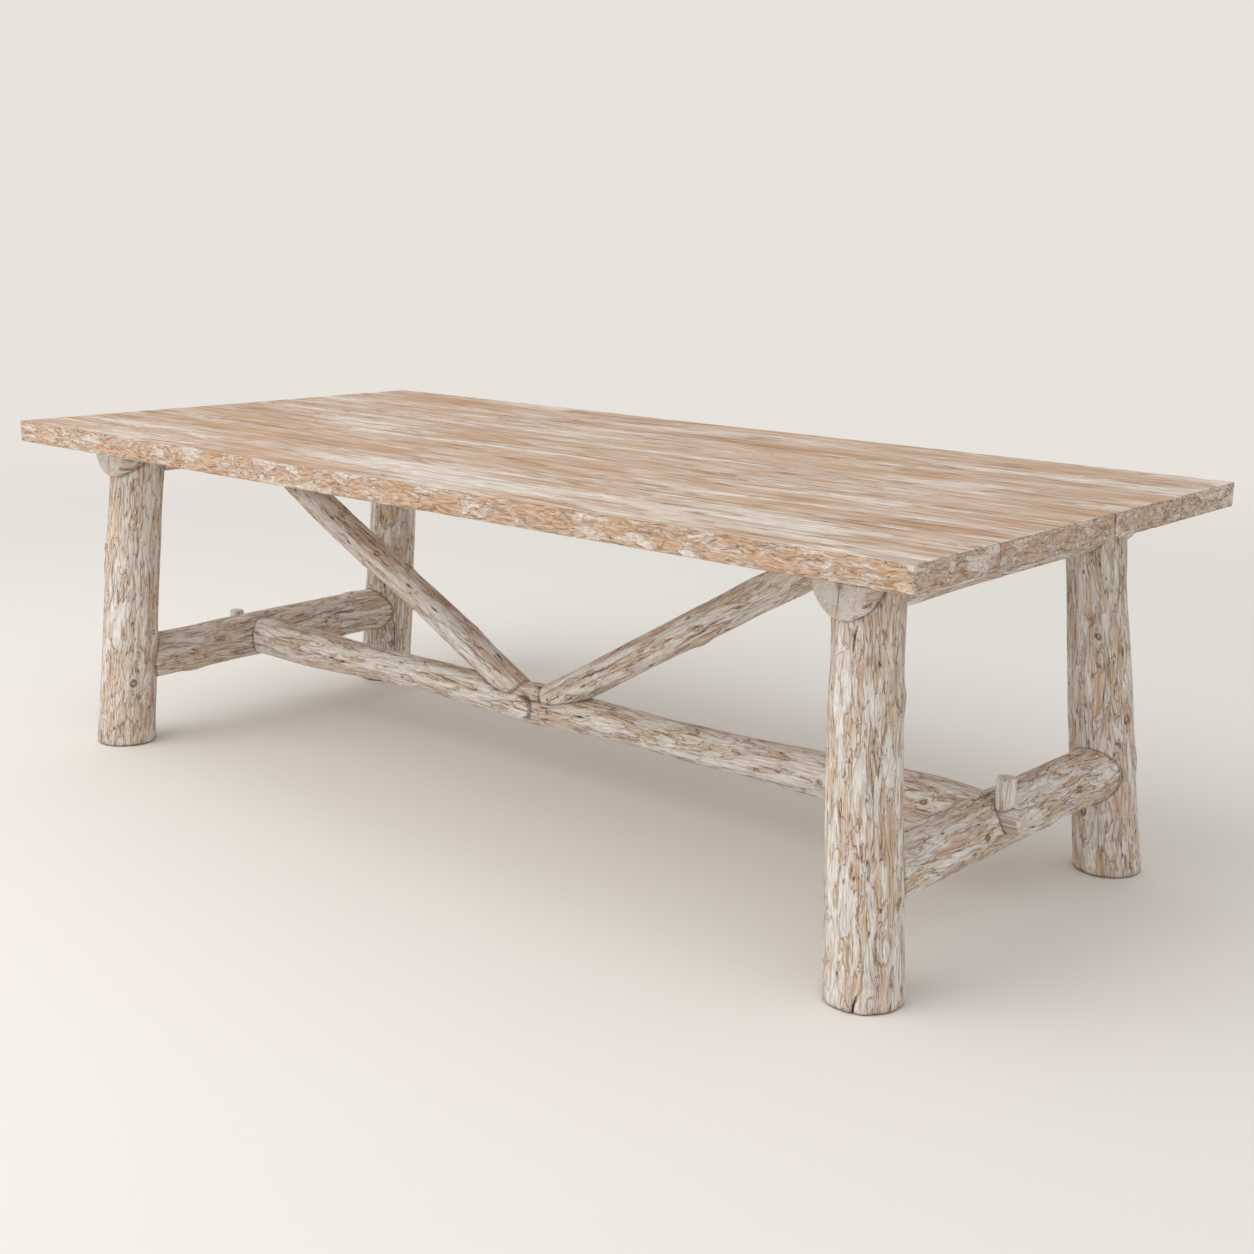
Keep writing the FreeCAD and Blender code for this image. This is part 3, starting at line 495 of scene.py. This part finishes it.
def paintLog(piece, log, neighbours):
    # grain places, lime, checks, and the painted shadow lines at joints and at the foot, at each point, and
    # the sawn ends' own material
    points = readRows(piece.data.vertices, "co")
    side, up, along = logPlaces(points, log)[:3]
    turn = np.arctan2(up, side)
    lime, check = logSurface(turn, along, log)[1:]
    # painted shadow, with some dust, in a dark line where another log meets this one
    for other in neighbours:   # dust and shadow where another log meets it
        check = np.maximum(check, darkLine(logPlaces(points, other)[3], *logSkin["jointLine"]))
    for ray in log["split"]:   # a crack across the first sawn end
        away = wrapped(turn - ray) * np.hypot(side, up)
        check = np.maximum(check, darkLine(away, *logSkin["splitLine"]) * (along < logSkin["splitDeep"]))
    # painted shadow: a dark line round the foot where the leg stands on the floor
    if log["paintedFootShadow"]:
        check = np.maximum(check, darkLine(along, *logSkin["footShadowLine"]))
    chance = np.random.default_rng(log["seed"])
    paint(piece, "grain", np.stack([side, up, along], axis=1) + chance.uniform(*grainShift, 3))
    paint(piece, "lime", lime)
    paint(piece, "check", check)
    piece.data.materials.clear()
    piece.data.materials.append(slimTeak if log["round"] < logSkin["slim"] else logTeak)
    piece.data.materials.append(sawnTeak)
    run = log["centres"][-1] - log["centres"][0]
    facing = np.abs(readRows(piece.data.polygons, "normal") @ run)
    sawn = facing > logSkin["sawnFacing"] * np.linalg.norm(run)
    piece.data.polygons.foreach_set("material_index", sawn.astype(np.int32))


pieces = {}
logs = {}
flat = ((1, 0, 0), (0, 1, 0))
across = ((-1, 0, 0), (0, 0, 1))
ahead = ((0, 1, 0), (0, 0, 1))


def addLog(name, look, seed, centres, radii, axes, marks):
    logs[name] = makeLog(look, seed, centres, radii, axes, marks)
    pieces[name] = logGrid(name + "_hewn", logs[name])


# legs: splayed logs, thicker at the foot, with a painted shadow line round the foot
legLook = {"around": 168, "rows": 250, "top": 0.700, "wander": 0.003, "checks": 7, "knots": 4,
           "round": 0.065, "rounding": (0.004, 0.0), "paintedFootShadow": True}
legRings = [(0.0, 138, 0, 0), (0.13, 132, 0.6, -0.4), (0.29, 131, 0, 0), (0.56, 125, -1, 0.7),
            (0.83, 119, 0.4, -0.5), (1.0, 122, 0, 0)]   # share of height, diameter, stray to x and y
legPlaces = {   # foot, head at the boards, seed
    "front_left_leg": ((-1.077, -0.437), (-1.008, -0.411), 21),
    "back_left_leg": ((-1.085, 0.410), (-1.008, 0.399), 22),
    "front_right_leg": ((1.052, -0.438), (1.003, -0.411), 23),
    "back_right_leg": ((1.085, 0.414), (1.003, 0.399), 24),
}
# split foot, slit near the head
legSplits = {"front_right_leg": [(-1.12, -0.05, 0.085, 1.7), (-1.35, 0.595, 0.05, 1.0)]}
for name, (foot, head, seed) in legPlaces.items():
    rings = []
    for share, diameter, strayX, strayY in legRings:
        rise = share * legLook["top"] / tableLook["under"]
        rings.append((share, foot[0] + (head[0] - foot[0]) * rise + strayX * legLook["wander"],
                      foot[1] + (head[1] - foot[1]) * rise + strayY * legLook["wander"],
                      share * legLook["top"], diameter / 1000))
    marks = makeMarks(seed, legLook["top"], legLook)
    marks["checks"] += legSplits.get(name, [])
    addLog(name, legLook, seed, *ringLine(rings, legLook["rows"]), flat, marks)

# bearers: half-round, sawn flat against the boards
bearerLook = {"around": 128, "rows": 300, "length": 0.984, "diameter": 0.112, "checks": 6, "knots": 3,
              "round": 0.056, "split": (0.98, -1.5)}
bearerPlaces = {"left": (-1.008, 0.074), "right": (1.003, 0.086)}   # x, height up to the flat
for end, seed in (("left", 31), ("right", 32)):
    name = end + "_bearer"
    half = bearerLook["length"] / 2
    run = np.linspace(-half, half, bearerLook["rows"])
    x, height = bearerPlaces[end]
    axis = tableLook["under"] - height + bearerLook["diameter"] / 2
    centres = np.stack([np.full_like(run, x), run, np.full_like(run, axis)], axis=1)
    radii = np.full(len(run), bearerLook["diameter"] / 2)
    addLog(name, bearerLook, seed, centres, radii, across, makeMarks(seed, bearerLook["length"], bearerLook))
    points = readRows(pieces[name].data.vertices, "co")
    points[:, 2] = np.minimum(points[:, 2], sawnUnder)
    pieces[name].data.vertices.foreach_set("co", points.ravel())

# end stretchers, between the legs of each trestle
stretcherLook = {"around": 132, "rows": 260, "length": 0.85, "height": 0.203, "wander": 0.002,
                 "shift": -0.060, "checks": 7, "knots": 4, "round": 0.055}
stretcherRings = [("front", 1.0, 113, 0), ("front", 0.55, 107, 1), ("cross", 0.0, 110, 0),
                  ("back", 0.5, 107, -1), ("back", 1.0, 113, 0)]   # towards, share, diameter, stray
stretcherKnots = {"right": [(2.85, 0.64, 0.019)]}   # large knot beside the back leg
crossings = {}
for end, seed in (("left", 41), ("right", 42)):
    knees = {}
    for side in ("front", "back"):
        foot, head = legPlaces[f"{side}_{end}_leg"][:2]
        rise = stretcherLook["height"] / tableLook["under"]
        knees[side] = [foot[i] + (head[i] - foot[i]) * rise for i in range(2)]
    skew = (knees["back"][0] - knees["front"][0]) / (knees["back"][1] - knees["front"][1])
    crossings[end] = knees["front"][0] + skew * (stretcherLook["shift"] - knees["front"][1])
    rings = []
    for side, share, diameter, stray in stretcherRings:
        y = stretcherLook["shift"] + share * (knees.get(side, knees["front"])[1] - stretcherLook["shift"])
        x = crossings[end] + skew * (y - stretcherLook["shift"])
        shift = stray * stretcherLook["wander"]
        rings.append((y, x + shift, y, stretcherLook["height"] - shift, diameter / 1000))
    marks = makeMarks(seed, stretcherLook["length"], stretcherLook)
    marks["knots"] += stretcherKnots.get(end, [])
    centres, radii = ringLine(rings, stretcherLook["rows"])
    addLog(end + "_end_stretcher", stretcherLook, seed, centres, radii, across, marks)

# long stretcher: it leans up to the right; a knot with a sawn stub, round tenons
longLook = {"around": 100, "rows": 640, "length": 2.1, "y": -0.060, "left": 0.203, "right": 0.227,
            "middle": 0.215, "wander": 0.003, "checks": 13, "knots": 9, "seed": 51, "round": 0.04,
            "shoulder": 80, "butt": 97, "waist": 78, "darkKnot": (2.9, 0.955, 0.012),
            "knot": -0.055, "knotReach": 0.064, "knotSize": 0.090, "knotSpread": 1.25, "knotFall": 1.5,
            "stub": 0.050, "stubFlare": 0.006, "stubTaper": 0.002, "stubLength": 0.007, "tenon": 0.048}
longShape = [(0.125, 0.0, 0.4), (0.25, 0.0, 0.8), (0.375, 0.0, 1.0), (0.5, 0.05, 0.9), (0.625, 0.25, 0.5),
             (0.75, 0.65, 0.2), (0.875, 1.0, 0.0), (1.0, None, 0.0)]   # share of half, swelling, stray
rings = [(0, 0, longLook["y"], longLook["middle"], longLook["waist"] / 1000)]
for share, swell, stray in longShape:
    wide = longLook["shoulder"]
    if swell is not None:
        wide = longLook["waist"] * (1 - swell) + longLook["butt"] * swell
    for end, sign in (("left", -1), ("right", 1)):
        shift = -sign * stray * longLook["wander"]
        x = share * crossings[end]
        up = longLook["middle"] * (1 - share) + longLook[end] * share
        rings.insert(0 if sign < 0 else len(rings), (x, x, longLook["y"] + shift, up + shift, wide / 1000))
centres, radii = ringLine(rings, longLook["rows"])
knotAway = (centres[:, 0] - longLook["knot"]) / (longLook["knotSpread"] * longLook["knotReach"])
swell = np.clip(1 - knotAway ** 2, 0, 1) ** longLook["knotFall"]
radii = np.maximum(radii, radii + (longLook["knotSize"] / 2 - radii) * swell)
marks = makeMarks(longLook["seed"], longLook["length"], longLook)
knotTurn, knotX, knotSize = longLook["darkKnot"]   # near the right end
marks["knots"].append((knotTurn, knotX - crossings["left"], knotSize))
addLog("long_stretcher", longLook, longLook["seed"], centres, radii, ahead, marks)

dowelLook = {"around": 72, "rows": 60, "round": 0.02, "relief": 0.28, "length": 0.1, "checks": 1, "knots": 0}


def dowel(name, look, seed, start, end, diameters, axes):
    # a short whittled round piece from start to end
    look = {**dowelLook, **look}
    share = np.linspace(0, 1, look["rows"])
    centres = np.array(start, float) + share[:, None] * (np.array(end, float) - np.array(start, float))
    radii = np.interp(share, np.linspace(0, 1, len(diameters)), diameters) / 2
    log = makeLog(look, seed, centres, radii, axes, makeMarks(seed, look["length"], look))
    return logGrid(name, log), log


# tusk pegs, tapered; the left one stands lower, both stand against their end stretcher
pegLook = {"tip": 0.030, "top": 0.038, "crown": 0.003, "depth": 0.040,
           "above": {"left": 0.028, "right": 0.055}, "standoff": 0.0008, "past": 0.023,
           "rounding": (0.001, 0.0035)}
tenonLook = {"inside": 0.11, "slack": 0.0006, "rounding": (0.0, 0.003)}
boreLook = {**tenonLook, "slack": -0.0012, "rounding": (0.0, 0.0)}
stubLook = {"around": 64, "rows": 40, "rounding": (0.0, 0.004), "seed": 65}
tenons, bores = [], []
pegs, tenonLogs = {}, {}
for end, sign, axes, pegSeed, tenonSeed in (("left", -1, ((0, -1, 0), (0, 0, 1)), 81, 60),
                                            ("right", 1, ahead, 82, 62)):
    tenonTop = longLook[end] + longLook["tenon"] / 2
    face = math.sqrt(stretcherLook["round"] ** 2 - (tenonTop - stretcherLook["height"]) ** 2)
    length = pegLook["above"][end] + pegLook["depth"]
    neck = pegLook["tip"] + (pegLook["top"] - pegLook["tip"]) * pegLook["depth"] / (length - pegLook["crown"])
    pegX = crossings[end] + sign * (face + neck / 2 + pegLook["standoff"])
    pegFoot = (pegX, longLook["y"], tenonTop - pegLook["depth"])
    pegHead = (pegX, longLook["y"], tenonTop + pegLook["above"][end])
    pegs[end] = dowel(end + "_tusk_peg_whittled", pegLook, pegSeed, pegFoot, pegHead,
                      [pegLook["tip"], pegLook["top"]], flat)
    inner = (crossings[end] - sign * tenonLook["inside"], longLook["y"], longLook[end])
    outer = (pegX + sign * (neck / 2 + pegLook["past"]), longLook["y"], longLook[end])
    tenon, tenonLogs[end] = dowel(end + "_tenon", tenonLook, tenonSeed, inner, outer,
                                  [longLook["tenon"] - tenonLook["slack"]] * 2, axes)
    bore = dowel(end + "_bore", boreLook, tenonSeed, inner, outer,
                 [longLook["tenon"] - boreLook["slack"]] * 2, axes)[0]
    tenons.append(tenon)
    bores.append(bore)
stubY = longLook["y"] - longLook["knotSize"] / 2 - longLook["stubLength"]
stub, stubLog = dowel("branch_stub", stubLook, stubLook["seed"],
                      *[(longLook["knot"], y, longLook["middle"]) for y in (longLook["y"], stubY)],
                      [longLook["stub"] + longLook["stubFlare"], longLook["stub"] - longLook["stubTaper"]],
                      ((1, 0, 0), (0, 0, 1)))

# braces, from the knot up to the boards
braceLook = {"around": 92, "rows": 340, "length": 1.0, "spread": 0.020, "start": 0.044, "wander": 0.002,
             "checks": 7, "knots": 6, "head": {"left": 1.080, "right": 0.850}, "round": 0.035,
             "rounding": (0.006, 0.0)}
# share of the way, diameter, stray
braceRings = [("start", 72, 0), (0.30, 70, 1), (0.62, 70, -1), (0.90, 71, 0), (1.15, 71, 0)]
for end, sign, seed in (("left", -1, 71), ("right", 1, 72)):
    run = braceLook["head"][end] - sign * longLook["knot"] - braceLook["spread"]
    rise = tableLook["under"] - longLook["middle"]
    rings = []
    for share, diameter, stray in braceRings:
        share = (braceLook["start"] - braceLook["spread"]) / run if share == "start" else share
        shift = stray * braceLook["wander"]
        rings.append((share, longLook["knot"] + sign * (braceLook["spread"] + share * run),
                      longLook["y"] + shift, longLook["middle"] + share * rise + shift, diameter / 1000))
    length = math.hypot(run, rise)
    axes = ((0, sign, 0), (-sign * rise / length, 0, run / length))
    addLog(end + "_brace", braceLook, seed, *ringLine(rings, braceLook["rows"]), axes,
           makeMarks(seed, braceLook["length"], braceLook))
print("stage 3: logs hewn")


def latticeBox(name, xs, ys, zs):
    # the six faces of a box as one closed grid
    shell = np.zeros([len(xs), len(ys), len(zs)], bool)
    sheets = []
    for axis in range(3):
        for stop in (0, -1):
            pick = tuple(stop if k == axis else slice(None) for k in range(3))
            sheets.append((axis, stop, pick))
            shell[pick] = True
    places = np.argwhere(shell)
    index = -np.ones(shell.shape, np.int64)
    index[shell] = np.arange(len(places))
    points = np.stack([xs[places[:, 0]], ys[places[:, 1]], zs[places[:, 2]]], axis=1)
    faces = []
    for axis, stop, pick in sheets:
        sheet = index[pick]
        quads = np.stack([sheet[:-1, :-1], sheet[1:, :-1], sheet[1:, 1:], sheet[:-1, 1:]], axis=-1)
        quads = quads.reshape(-1, 4)
        if (stop == -1) != (axis != 1):   # the sheet's own turn is outward for +x, -y and +z
            quads = quads[:, ::-1]
        faces += quads.tolist()
    return makeObject(name, points, faces)


def drill(name, start, end, radius, sides=24):
    # a plain round tool from start to end
    start, end = Vector(start), Vector(end)
    turn = (end - start).to_track_quat("Z", "Y")
    ring = [turn @ Vector((radius * math.cos(a), radius * math.sin(a), 0))
            for a in np.linspace(0, 2 * math.pi, sides + 1)[:-1]]
    points = np.array([[*(start + spoke)] for spoke in ring] + [[*(end + spoke)] for spoke in ring])
    faces = [(j, (j + 1) % sides, sides + (j + 1) % sides, sides + j) for j in range(sides)]
    return makeObject(name, points, faces + [tuple(range(sides))[::-1], tuple(range(sides, 2 * sides))])


# joints: each log is coped to the one that carries it, braces are cut off at the boards and past the bearer
spare = {"end": 1.3, "past": 2.2, "side": 0.7, "below": -0.1, "above": 0.95}   # reach of the cutting slabs
width = np.array([-spare["side"], spare["side"]])
topSpace = latticeBox("top_space", np.array([-spare["end"], spare["end"]]), width,
                      np.array([sawnUnder, spare["above"]]))
pastBearer = latticeBox("past_bearer", np.array([-spare["past"], bearerPlaces["left"][0]]), width,
                        np.array([spare["below"], spare["above"]]))
for end in ("left", "right"):
    for side in ("front", "back"):
        carve(pieces[f"{side}_{end}_leg"], [pieces[end + "_bearer"]])
    carve(pieces[end + "_end_stretcher"], [pieces[f"front_{end}_leg"], pieces[f"back_{end}_leg"]])
for end, bore in zip(("left", "right"), bores):
    carve(pieces["long_stretcher"], [pieces[end + "_end_stretcher"]])
    carve(pieces[end + "_end_stretcher"], [bore])
carve(pieces["long_stretcher"], [stub, *tenons], "UNION")
carve(pieces["left_brace"], [pieces["long_stretcher"], topSpace, pieces["left_bearer"], pastBearer])
carve(pieces["right_brace"], [pieces["long_stretcher"], topSpace])

# screw recesses and nail holes, drilled as in the CAD model
screwLook = {"recess": 0.0083, "from": 0.62, "seat": 0.024, "shift": 0.020, "pitch": 0.150,
             "steps": (-2, -1, 0, 1, 2), "braceRecess": 0.0058, "braceFrom": 0.5}
braceScrews = {   # seat, x and y of each
    "left": (0.652, [(-0.992, -0.074), (-0.992, -0.046)]),
    "right": (0.712, [(0.836, -0.06), (0.864, -0.06)]),
}
nailLook = {"first": 0.066, "spacing": 0.032, "angle": 52, "nearer": 10, "from": 0.043, "to": 0.115,
            "hole": 0.0026}
drills = []
for end, sign in (("left", -1), ("right", 1)):
    x, height = bearerPlaces[end]
    seat = tableLook["under"] - height + screwLook["seat"]
    rows = [screwLook["shift"] + step * screwLook["pitch"] for step in screwLook["steps"]]
    holes = [drill("recess", (x, y, screwLook["from"]), (x, y, seat), screwLook["recess"]) for y in rows]
    carve(pieces[end + "_bearer"], holes)
    seat, spots = braceScrews[end]
    low, recess = screwLook["braceFrom"], screwLook["braceRecess"]
    braceHoles = [drill("brace_recess", (x, y, low), (x, y, seat), recess) for x, y in spots]
    for side in (-1, 1):
        for number in range(2):
            lean = math.radians(nailLook["angle"] - number * nailLook["nearer"])
            x = longLook["knot"] + sign * (nailLook["first"] + number * nailLook["spacing"])
            ray = [(x, longLook["y"] + side * far * math.sin(lean), longLook["middle"] + far * math.cos(lean))
                   for far in (nailLook["from"], nailLook["to"])]
            braceHoles.append(drill("nail_hole", *ray, nailLook["hole"]))
    carve(pieces[end + "_brace"], braceHoles)
    drills += holes + braceHoles
for tool in [topSpace, pastBearer, stub, *tenons, *bores, *drills]:
    bpy.data.objects.remove(tool)
for name, piece in pieces.items():
    neighbours = [logs[other] for other in logs if other != name]
    if name == "long_stretcher":
        neighbours += [stubLog] + [made[1] for made in pegs.values()]
    if name.endswith("end_stretcher"):
        neighbours.append(tenonLogs[name.split("_")[0]])
    paintLog(piece, logs[name], neighbours)
    soften(piece)
    finishPiece(piece, name, "table")
print("stage 4: logs joined")

for end, (piece, log) in pegs.items():
    paintLog(piece, log, [tenonLogs[end], logs[end + "_end_stretcher"]])
    soften(piece)
    finishPiece(piece, end + "_tusk_peg", end + "_tusk_peg")
print("stage 5: pegs whittled")

# top boards: brushed above, gouged along the front and back, sawn at the ends
boardSkin = {   # relief and marks in metres, with sizes across and along the grain
    "steps": (0.0052, 0.0062, 0.0045), "rim": (0, 0.0012, 0.0028, 0.005, 0.008), "rimReach": 0.012,
    "ease": 0.0035, "wear": 0.004, "wearSize": (0.05, 0.03), "wearEdge": (0.1, 0.8), "seam": 0.0016,
    "seamEnd": 0.02, "gouge": 0.0022, "gougeSize": (0.02, 0.012), "nickSize": (0.007, 0.007),
    "nickShare": 0.5, "gougeMost": 1.2, "sway": 0.0006, "swaySize": (0.03, 0.4), "onSide": 1e-6, "onTop": 1e-4,
    # lime: slow bands, hazes that run over the seams, patches on the edges, the arris
    "limeBase": 0.5, "band": 0.3, "bandSize": (0.08, 0.5), "haze": 0.9, "hazeSize": (0.3, 0.75),
    "hazeSeed": 71, "patchSize": (0.04, 0.04), "patchEdge": (-0.3, 0.4), "arris": 1.2, "arrisWidth": 0.006,
    "arrisSize": (0.05, 0.05),
    # seams: fainter and darker shade, where they break, core at the ends
    "faint": 0.3, "darker": 0.5, "breakSize": (0.3, 0.22), "breakEdge": (-0.2, 0.5), "breakSeed": 77,
    "seamWidth": 0.0032, "seamCore": 0.7, "upFacing": 0.75, "sharp": 60, "firstSeed": 90,
}
boardWidths = [("front_board", 0.258), ("second_board", 0.260), ("third_board", 0.149),
               ("fourth_board", 0.281), ("back_board", 0.252)]
seamDark = [0.35, 0.25, 0.8, 0.3]   # how dark each seam shows at the ends of the top


def spaced(low, high, step):
    # even steps, with a few close lines at both ends for the worn arris
    rim, reach = np.array(boardSkin["rim"]), boardSkin["rimReach"]
    inner = np.linspace(low + reach, high - reach, max(2, round((high - low - 2 * reach) / step)))
    return np.concatenate([low + rim, inner, high - rim[::-1]])


start = tableLook["front"]
for number, (name, width) in enumerate(boardWidths):
    look = boardSkin
    low = np.array([-tableLook["half"], start, tableLook["under"]])
    high = np.array([tableLook["half"], start + width, tableLook["upper"]])
    start += width
    seed = look["firstSeed"] + number
    piece = latticeBox(name + "_planed", *map(spaced, low, high, look["steps"]))
    points = readRows(piece.data.vertices, "co")
    grainPlaces = np.stack([points[:, 1], points[:, 2], points[:, 0]], axis=1)
    front = points[:, 1] < (low[1] + high[1]) / 2
    sideAway = np.where(front, points[:, 1] - low[1], high[1] - points[:, 1])
    endAway = tableLook["half"] - np.abs(points[:, 0])
    outer = np.where(front, number == 0, number == len(boardWidths) - 1)
    # worn arris: wide and uneven on the outside, narrow along the seams
    chips = smooth(*look["wearEdge"], grainNoise(grainPlaces, *look["wearSize"], seed, 2))
    worn = look["ease"] + look["wear"] * chips
    seamWorn = look["seam"] + (worn - look["seam"]) * smooth(look["seamEnd"], 0.0, endAway)
    radius = np.where(outer, worn, seamWorn)[:, None]
    core = np.clip(points, low + radius, high - radius)
    off = points - core
    length = np.linalg.norm(off, axis=1, keepdims=True)
    rounded = np.where(length > 1e-9, core + off / np.maximum(length, 1e-9) * radius, points)
    # gouged edges: hollows cut inwards only, none on the seams
    sides = (sideAway < look["onSide"]) & outer
    ends = endAway < look["onSide"]
    hollow = (np.abs(grainNoise(points, *look["gougeSize"], seed + 20, 2))
              + look["nickShare"] * np.abs(grainNoise(points, *look["nickSize"], seed + 23)))
    hollow = np.clip(hollow, 0, look["gougeMost"]) * look["gouge"]
    rounded[:, 1] += np.where(sides, np.where(front, hollow, -hollow), 0)
    rounded[:, 0] -= np.where(ends, np.sign(points[:, 0]) * hollow, 0)
    # brushed upper face: the softer grain a little lower
    upper = points[:, 2] > tableLook["upper"] - look["onTop"]
    brushed = np.clip(1 + grainNoise(grainPlaces, *look["swaySize"], seed + 30, 2), 0, None) / 2
    rounded[:, 2] -= np.where(upper, look["sway"] * brushed, 0)
    piece.data.vertices.foreach_set("co", rounded.ravel())
    chance = np.random.default_rng(seed)
    paint(piece, "grain", grainPlaces + chance.uniform(*grainShift, 3))
    # lime: bands and hazes above, patches on the edges, a broken white line along the arris
    edgeAway = np.minimum(np.where(outer, sideAway, 1.0), endAway)
    arris = (np.exp(-(edgeAway / look["arrisWidth"]) ** 2)
             * smooth(*look["patchEdge"], grainNoise(grainPlaces, *look["arrisSize"], seed + 40, 2)))
    lime = (look["limeBase"] + look["band"] * grainNoise(grainPlaces, *look["bandSize"], seed + 50, 2)
            + look["haze"] * grainNoise(grainPlaces, *look["hazeSize"], look["hazeSeed"]))
    patches = smooth(*look["patchEdge"], grainNoise(points, *look["patchSize"], seed + 60, 2))
    lime = np.where(sides | ends, patches, lime)
    paint(piece, "lime", np.clip(lime + look["arris"] * arris * upper, 0, 2))
    # seams: a thin broken line above, a dark one at the ends of the top
    seamShade = np.where(front, seamDark[max(number - 1, 0)], seamDark[min(number, len(seamDark) - 1)])
    breaks = grainNoise(grainPlaces, *look["breakSize"], look["breakSeed"], 2)
    broken = look["faint"] + look["darker"] * smooth(*look["breakEdge"], breaks)
    seam = np.exp(-(sideAway / look["seamWidth"]) ** 2) * ~outer
    endSeam = seamShade * (seam > look["seamCore"])
    paint(piece, "check", np.where(ends, endSeam, np.where(upper, broken, 0) * seam))
    for material in (boardTeak, edgeTeak, boardEndTeak):
        piece.data.materials.append(material)
    piece.data.update()
    normals = np.abs(readRows(piece.data.polygons, "normal"))
    kind = np.where(normals[:, 2] > look["upFacing"], 0, np.where(normals[:, 1] > normals[:, 0], 1, 2))
    piece.data.polygons.foreach_set("material_index", kind.astype(np.int32))
    soften(piece, look["sharp"])
    finishPiece(piece, name, "table")
print("stage 6: boards planed")

# CAD nodes that stay: tongues in their grooves, steel fixings
for name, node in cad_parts.items():
    if name.startswith("tongue") or "screws" in name or "nails" in name:
        node.data.materials.clear()
        node.data.materials.append(tongueTeak if name.startswith("tongue") else steel)

# studio: pale paper floor, matt, that fades into the wall, and soft light
studio = {"floor": "#eeebe7", "wall": "#e8e3dc", "ambient": "#fffefc", "lamp": "#fffdfa", "world": 0.72,
          "ground": 40.0, "below": 0.0005, "fadeFrom": 1.8, "fadeTo": 6.5, "rough": 0.95, "sheen": 0.1,
          "target": (0, 0, 0.4)}
lamps = {   # place, size, power
    "overhead_light": ((-1.0, -2.8, 5.4), (5.0, 5.0), 106.0),
    "front_light": ((-2.0, -4.6, 3.0), (5.0, 4.0), 74.0),
}
corners = np.array([[-1, -1, 0], [1, -1, 0], [1, 1, 0], [-1, 1, 0]]) * studio["ground"]
floorPiece = makeObject("studio_floor", corners, [(0, 1, 2, 3)])
floorPiece.location.z = -studio["below"]
paper = bpy.data.materials.new("studio paper")
paper.use_nodes = True
paperTree = paper.node_tree
paperShader = paperTree.nodes["Principled BSDF"]
paperShader.inputs["Base Color"].default_value = linear(studio["floor"])
paperShader.inputs["Roughness"].default_value = studio["rough"]
paperShader.inputs["Specular IOR Level"].default_value = studio["sheen"]
glow = addNode(paperTree, "Emission", {"Color": linear(studio["wall"]), "Strength": 1.0})
spot = addNode(paperTree, "NewGeometry").outputs["Position"]
away = addNode(paperTree, "VectorMath", {"operation": "LENGTH", 0: spot}).outputs["Value"]
fade = mapped(paperTree, away, studio["fadeFrom"], studio["fadeTo"], kind="SMOOTHSTEP")
world = bpy.data.worlds.new("studio")
world.use_nodes = True
bpy.context.scene.world = world
worldTree = world.node_tree
ambient = worldTree.nodes["Background"]
ambient.inputs["Color"].default_value = linear(studio["ambient"])
ambient.inputs["Strength"].default_value = studio["world"]
wall = addNode(worldTree, "Background", {"Color": linear(studio["wall"]), "Strength": 1.0})
seen = []
for tree in (paperTree, worldTree):
    sight = addNode(tree, "LightPath")
    mirrored = maths(tree, "ADD", sight.outputs["Is Camera Ray"], sight.outputs["Is Glossy Ray"])
    seen.append(maths(tree, "ADD", mirrored, sight.outputs["Is Transmission Ray"], clamp=True))
faded = maths(paperTree, "MULTIPLY", fade, seen[0])
paperMix = addNode(paperTree, "MixShader", {0: faded, 1: paperShader.outputs[0], 2: glow.outputs[0]})
paperTree.links.new(paperMix.outputs[0], paperTree.nodes["Material Output"].inputs["Surface"])
worldMix = addNode(worldTree, "MixShader", {0: seen[1], 1: ambient.outputs[0], 2: wall.outputs[0]})
worldTree.links.new(worldMix.outputs[0], worldTree.nodes["World Output"].inputs["Surface"])
floorPiece.data.materials.append(paper)

for name, (place, size, power) in lamps.items():
    light = bpy.data.lights.new(name, "AREA")
    light.shape = "RECTANGLE"
    light.size, light.size_y = size
    light.energy = power
    light.color = linear(studio["lamp"])[:3]
    lamp = bpy.data.objects.new(name, light)
    bpy.context.scene.collection.objects.link(lamp)
    lamp.location = place
    lamp.rotation_euler = (Vector(studio["target"]) - Vector(place)).to_track_quat("-Z", "Y").to_euler()

view = {"place": (2.44797, -2.71439, 1.24884), "yaw": 40.229, "pitch": 13.234, "roll": 1.101, "lens": 49.121,
        "sensor": 36}
yaw, pitch, roll = (math.radians(view[key]) for key in ("yaw", "pitch", "roll"))
cameraData = bpy.data.cameras.new("camera")
cameraData.sensor_width = view["sensor"]
cameraData.lens = view["lens"]
camera = bpy.data.objects.new("camera", cameraData)
bpy.context.scene.collection.objects.link(camera)
turned = (Matrix.Rotation(yaw, 4, "Z") @ Matrix.Rotation(math.pi / 2 - pitch, 4, "X")
          @ Matrix.Rotation(roll, 4, "Z"))
camera.matrix_world = Matrix.Translation(view["place"]) @ turned
bpy.context.scene.camera = camera
bpy.context.scene.view_settings.view_transform = "Standard"
print("stage 7: studio set")
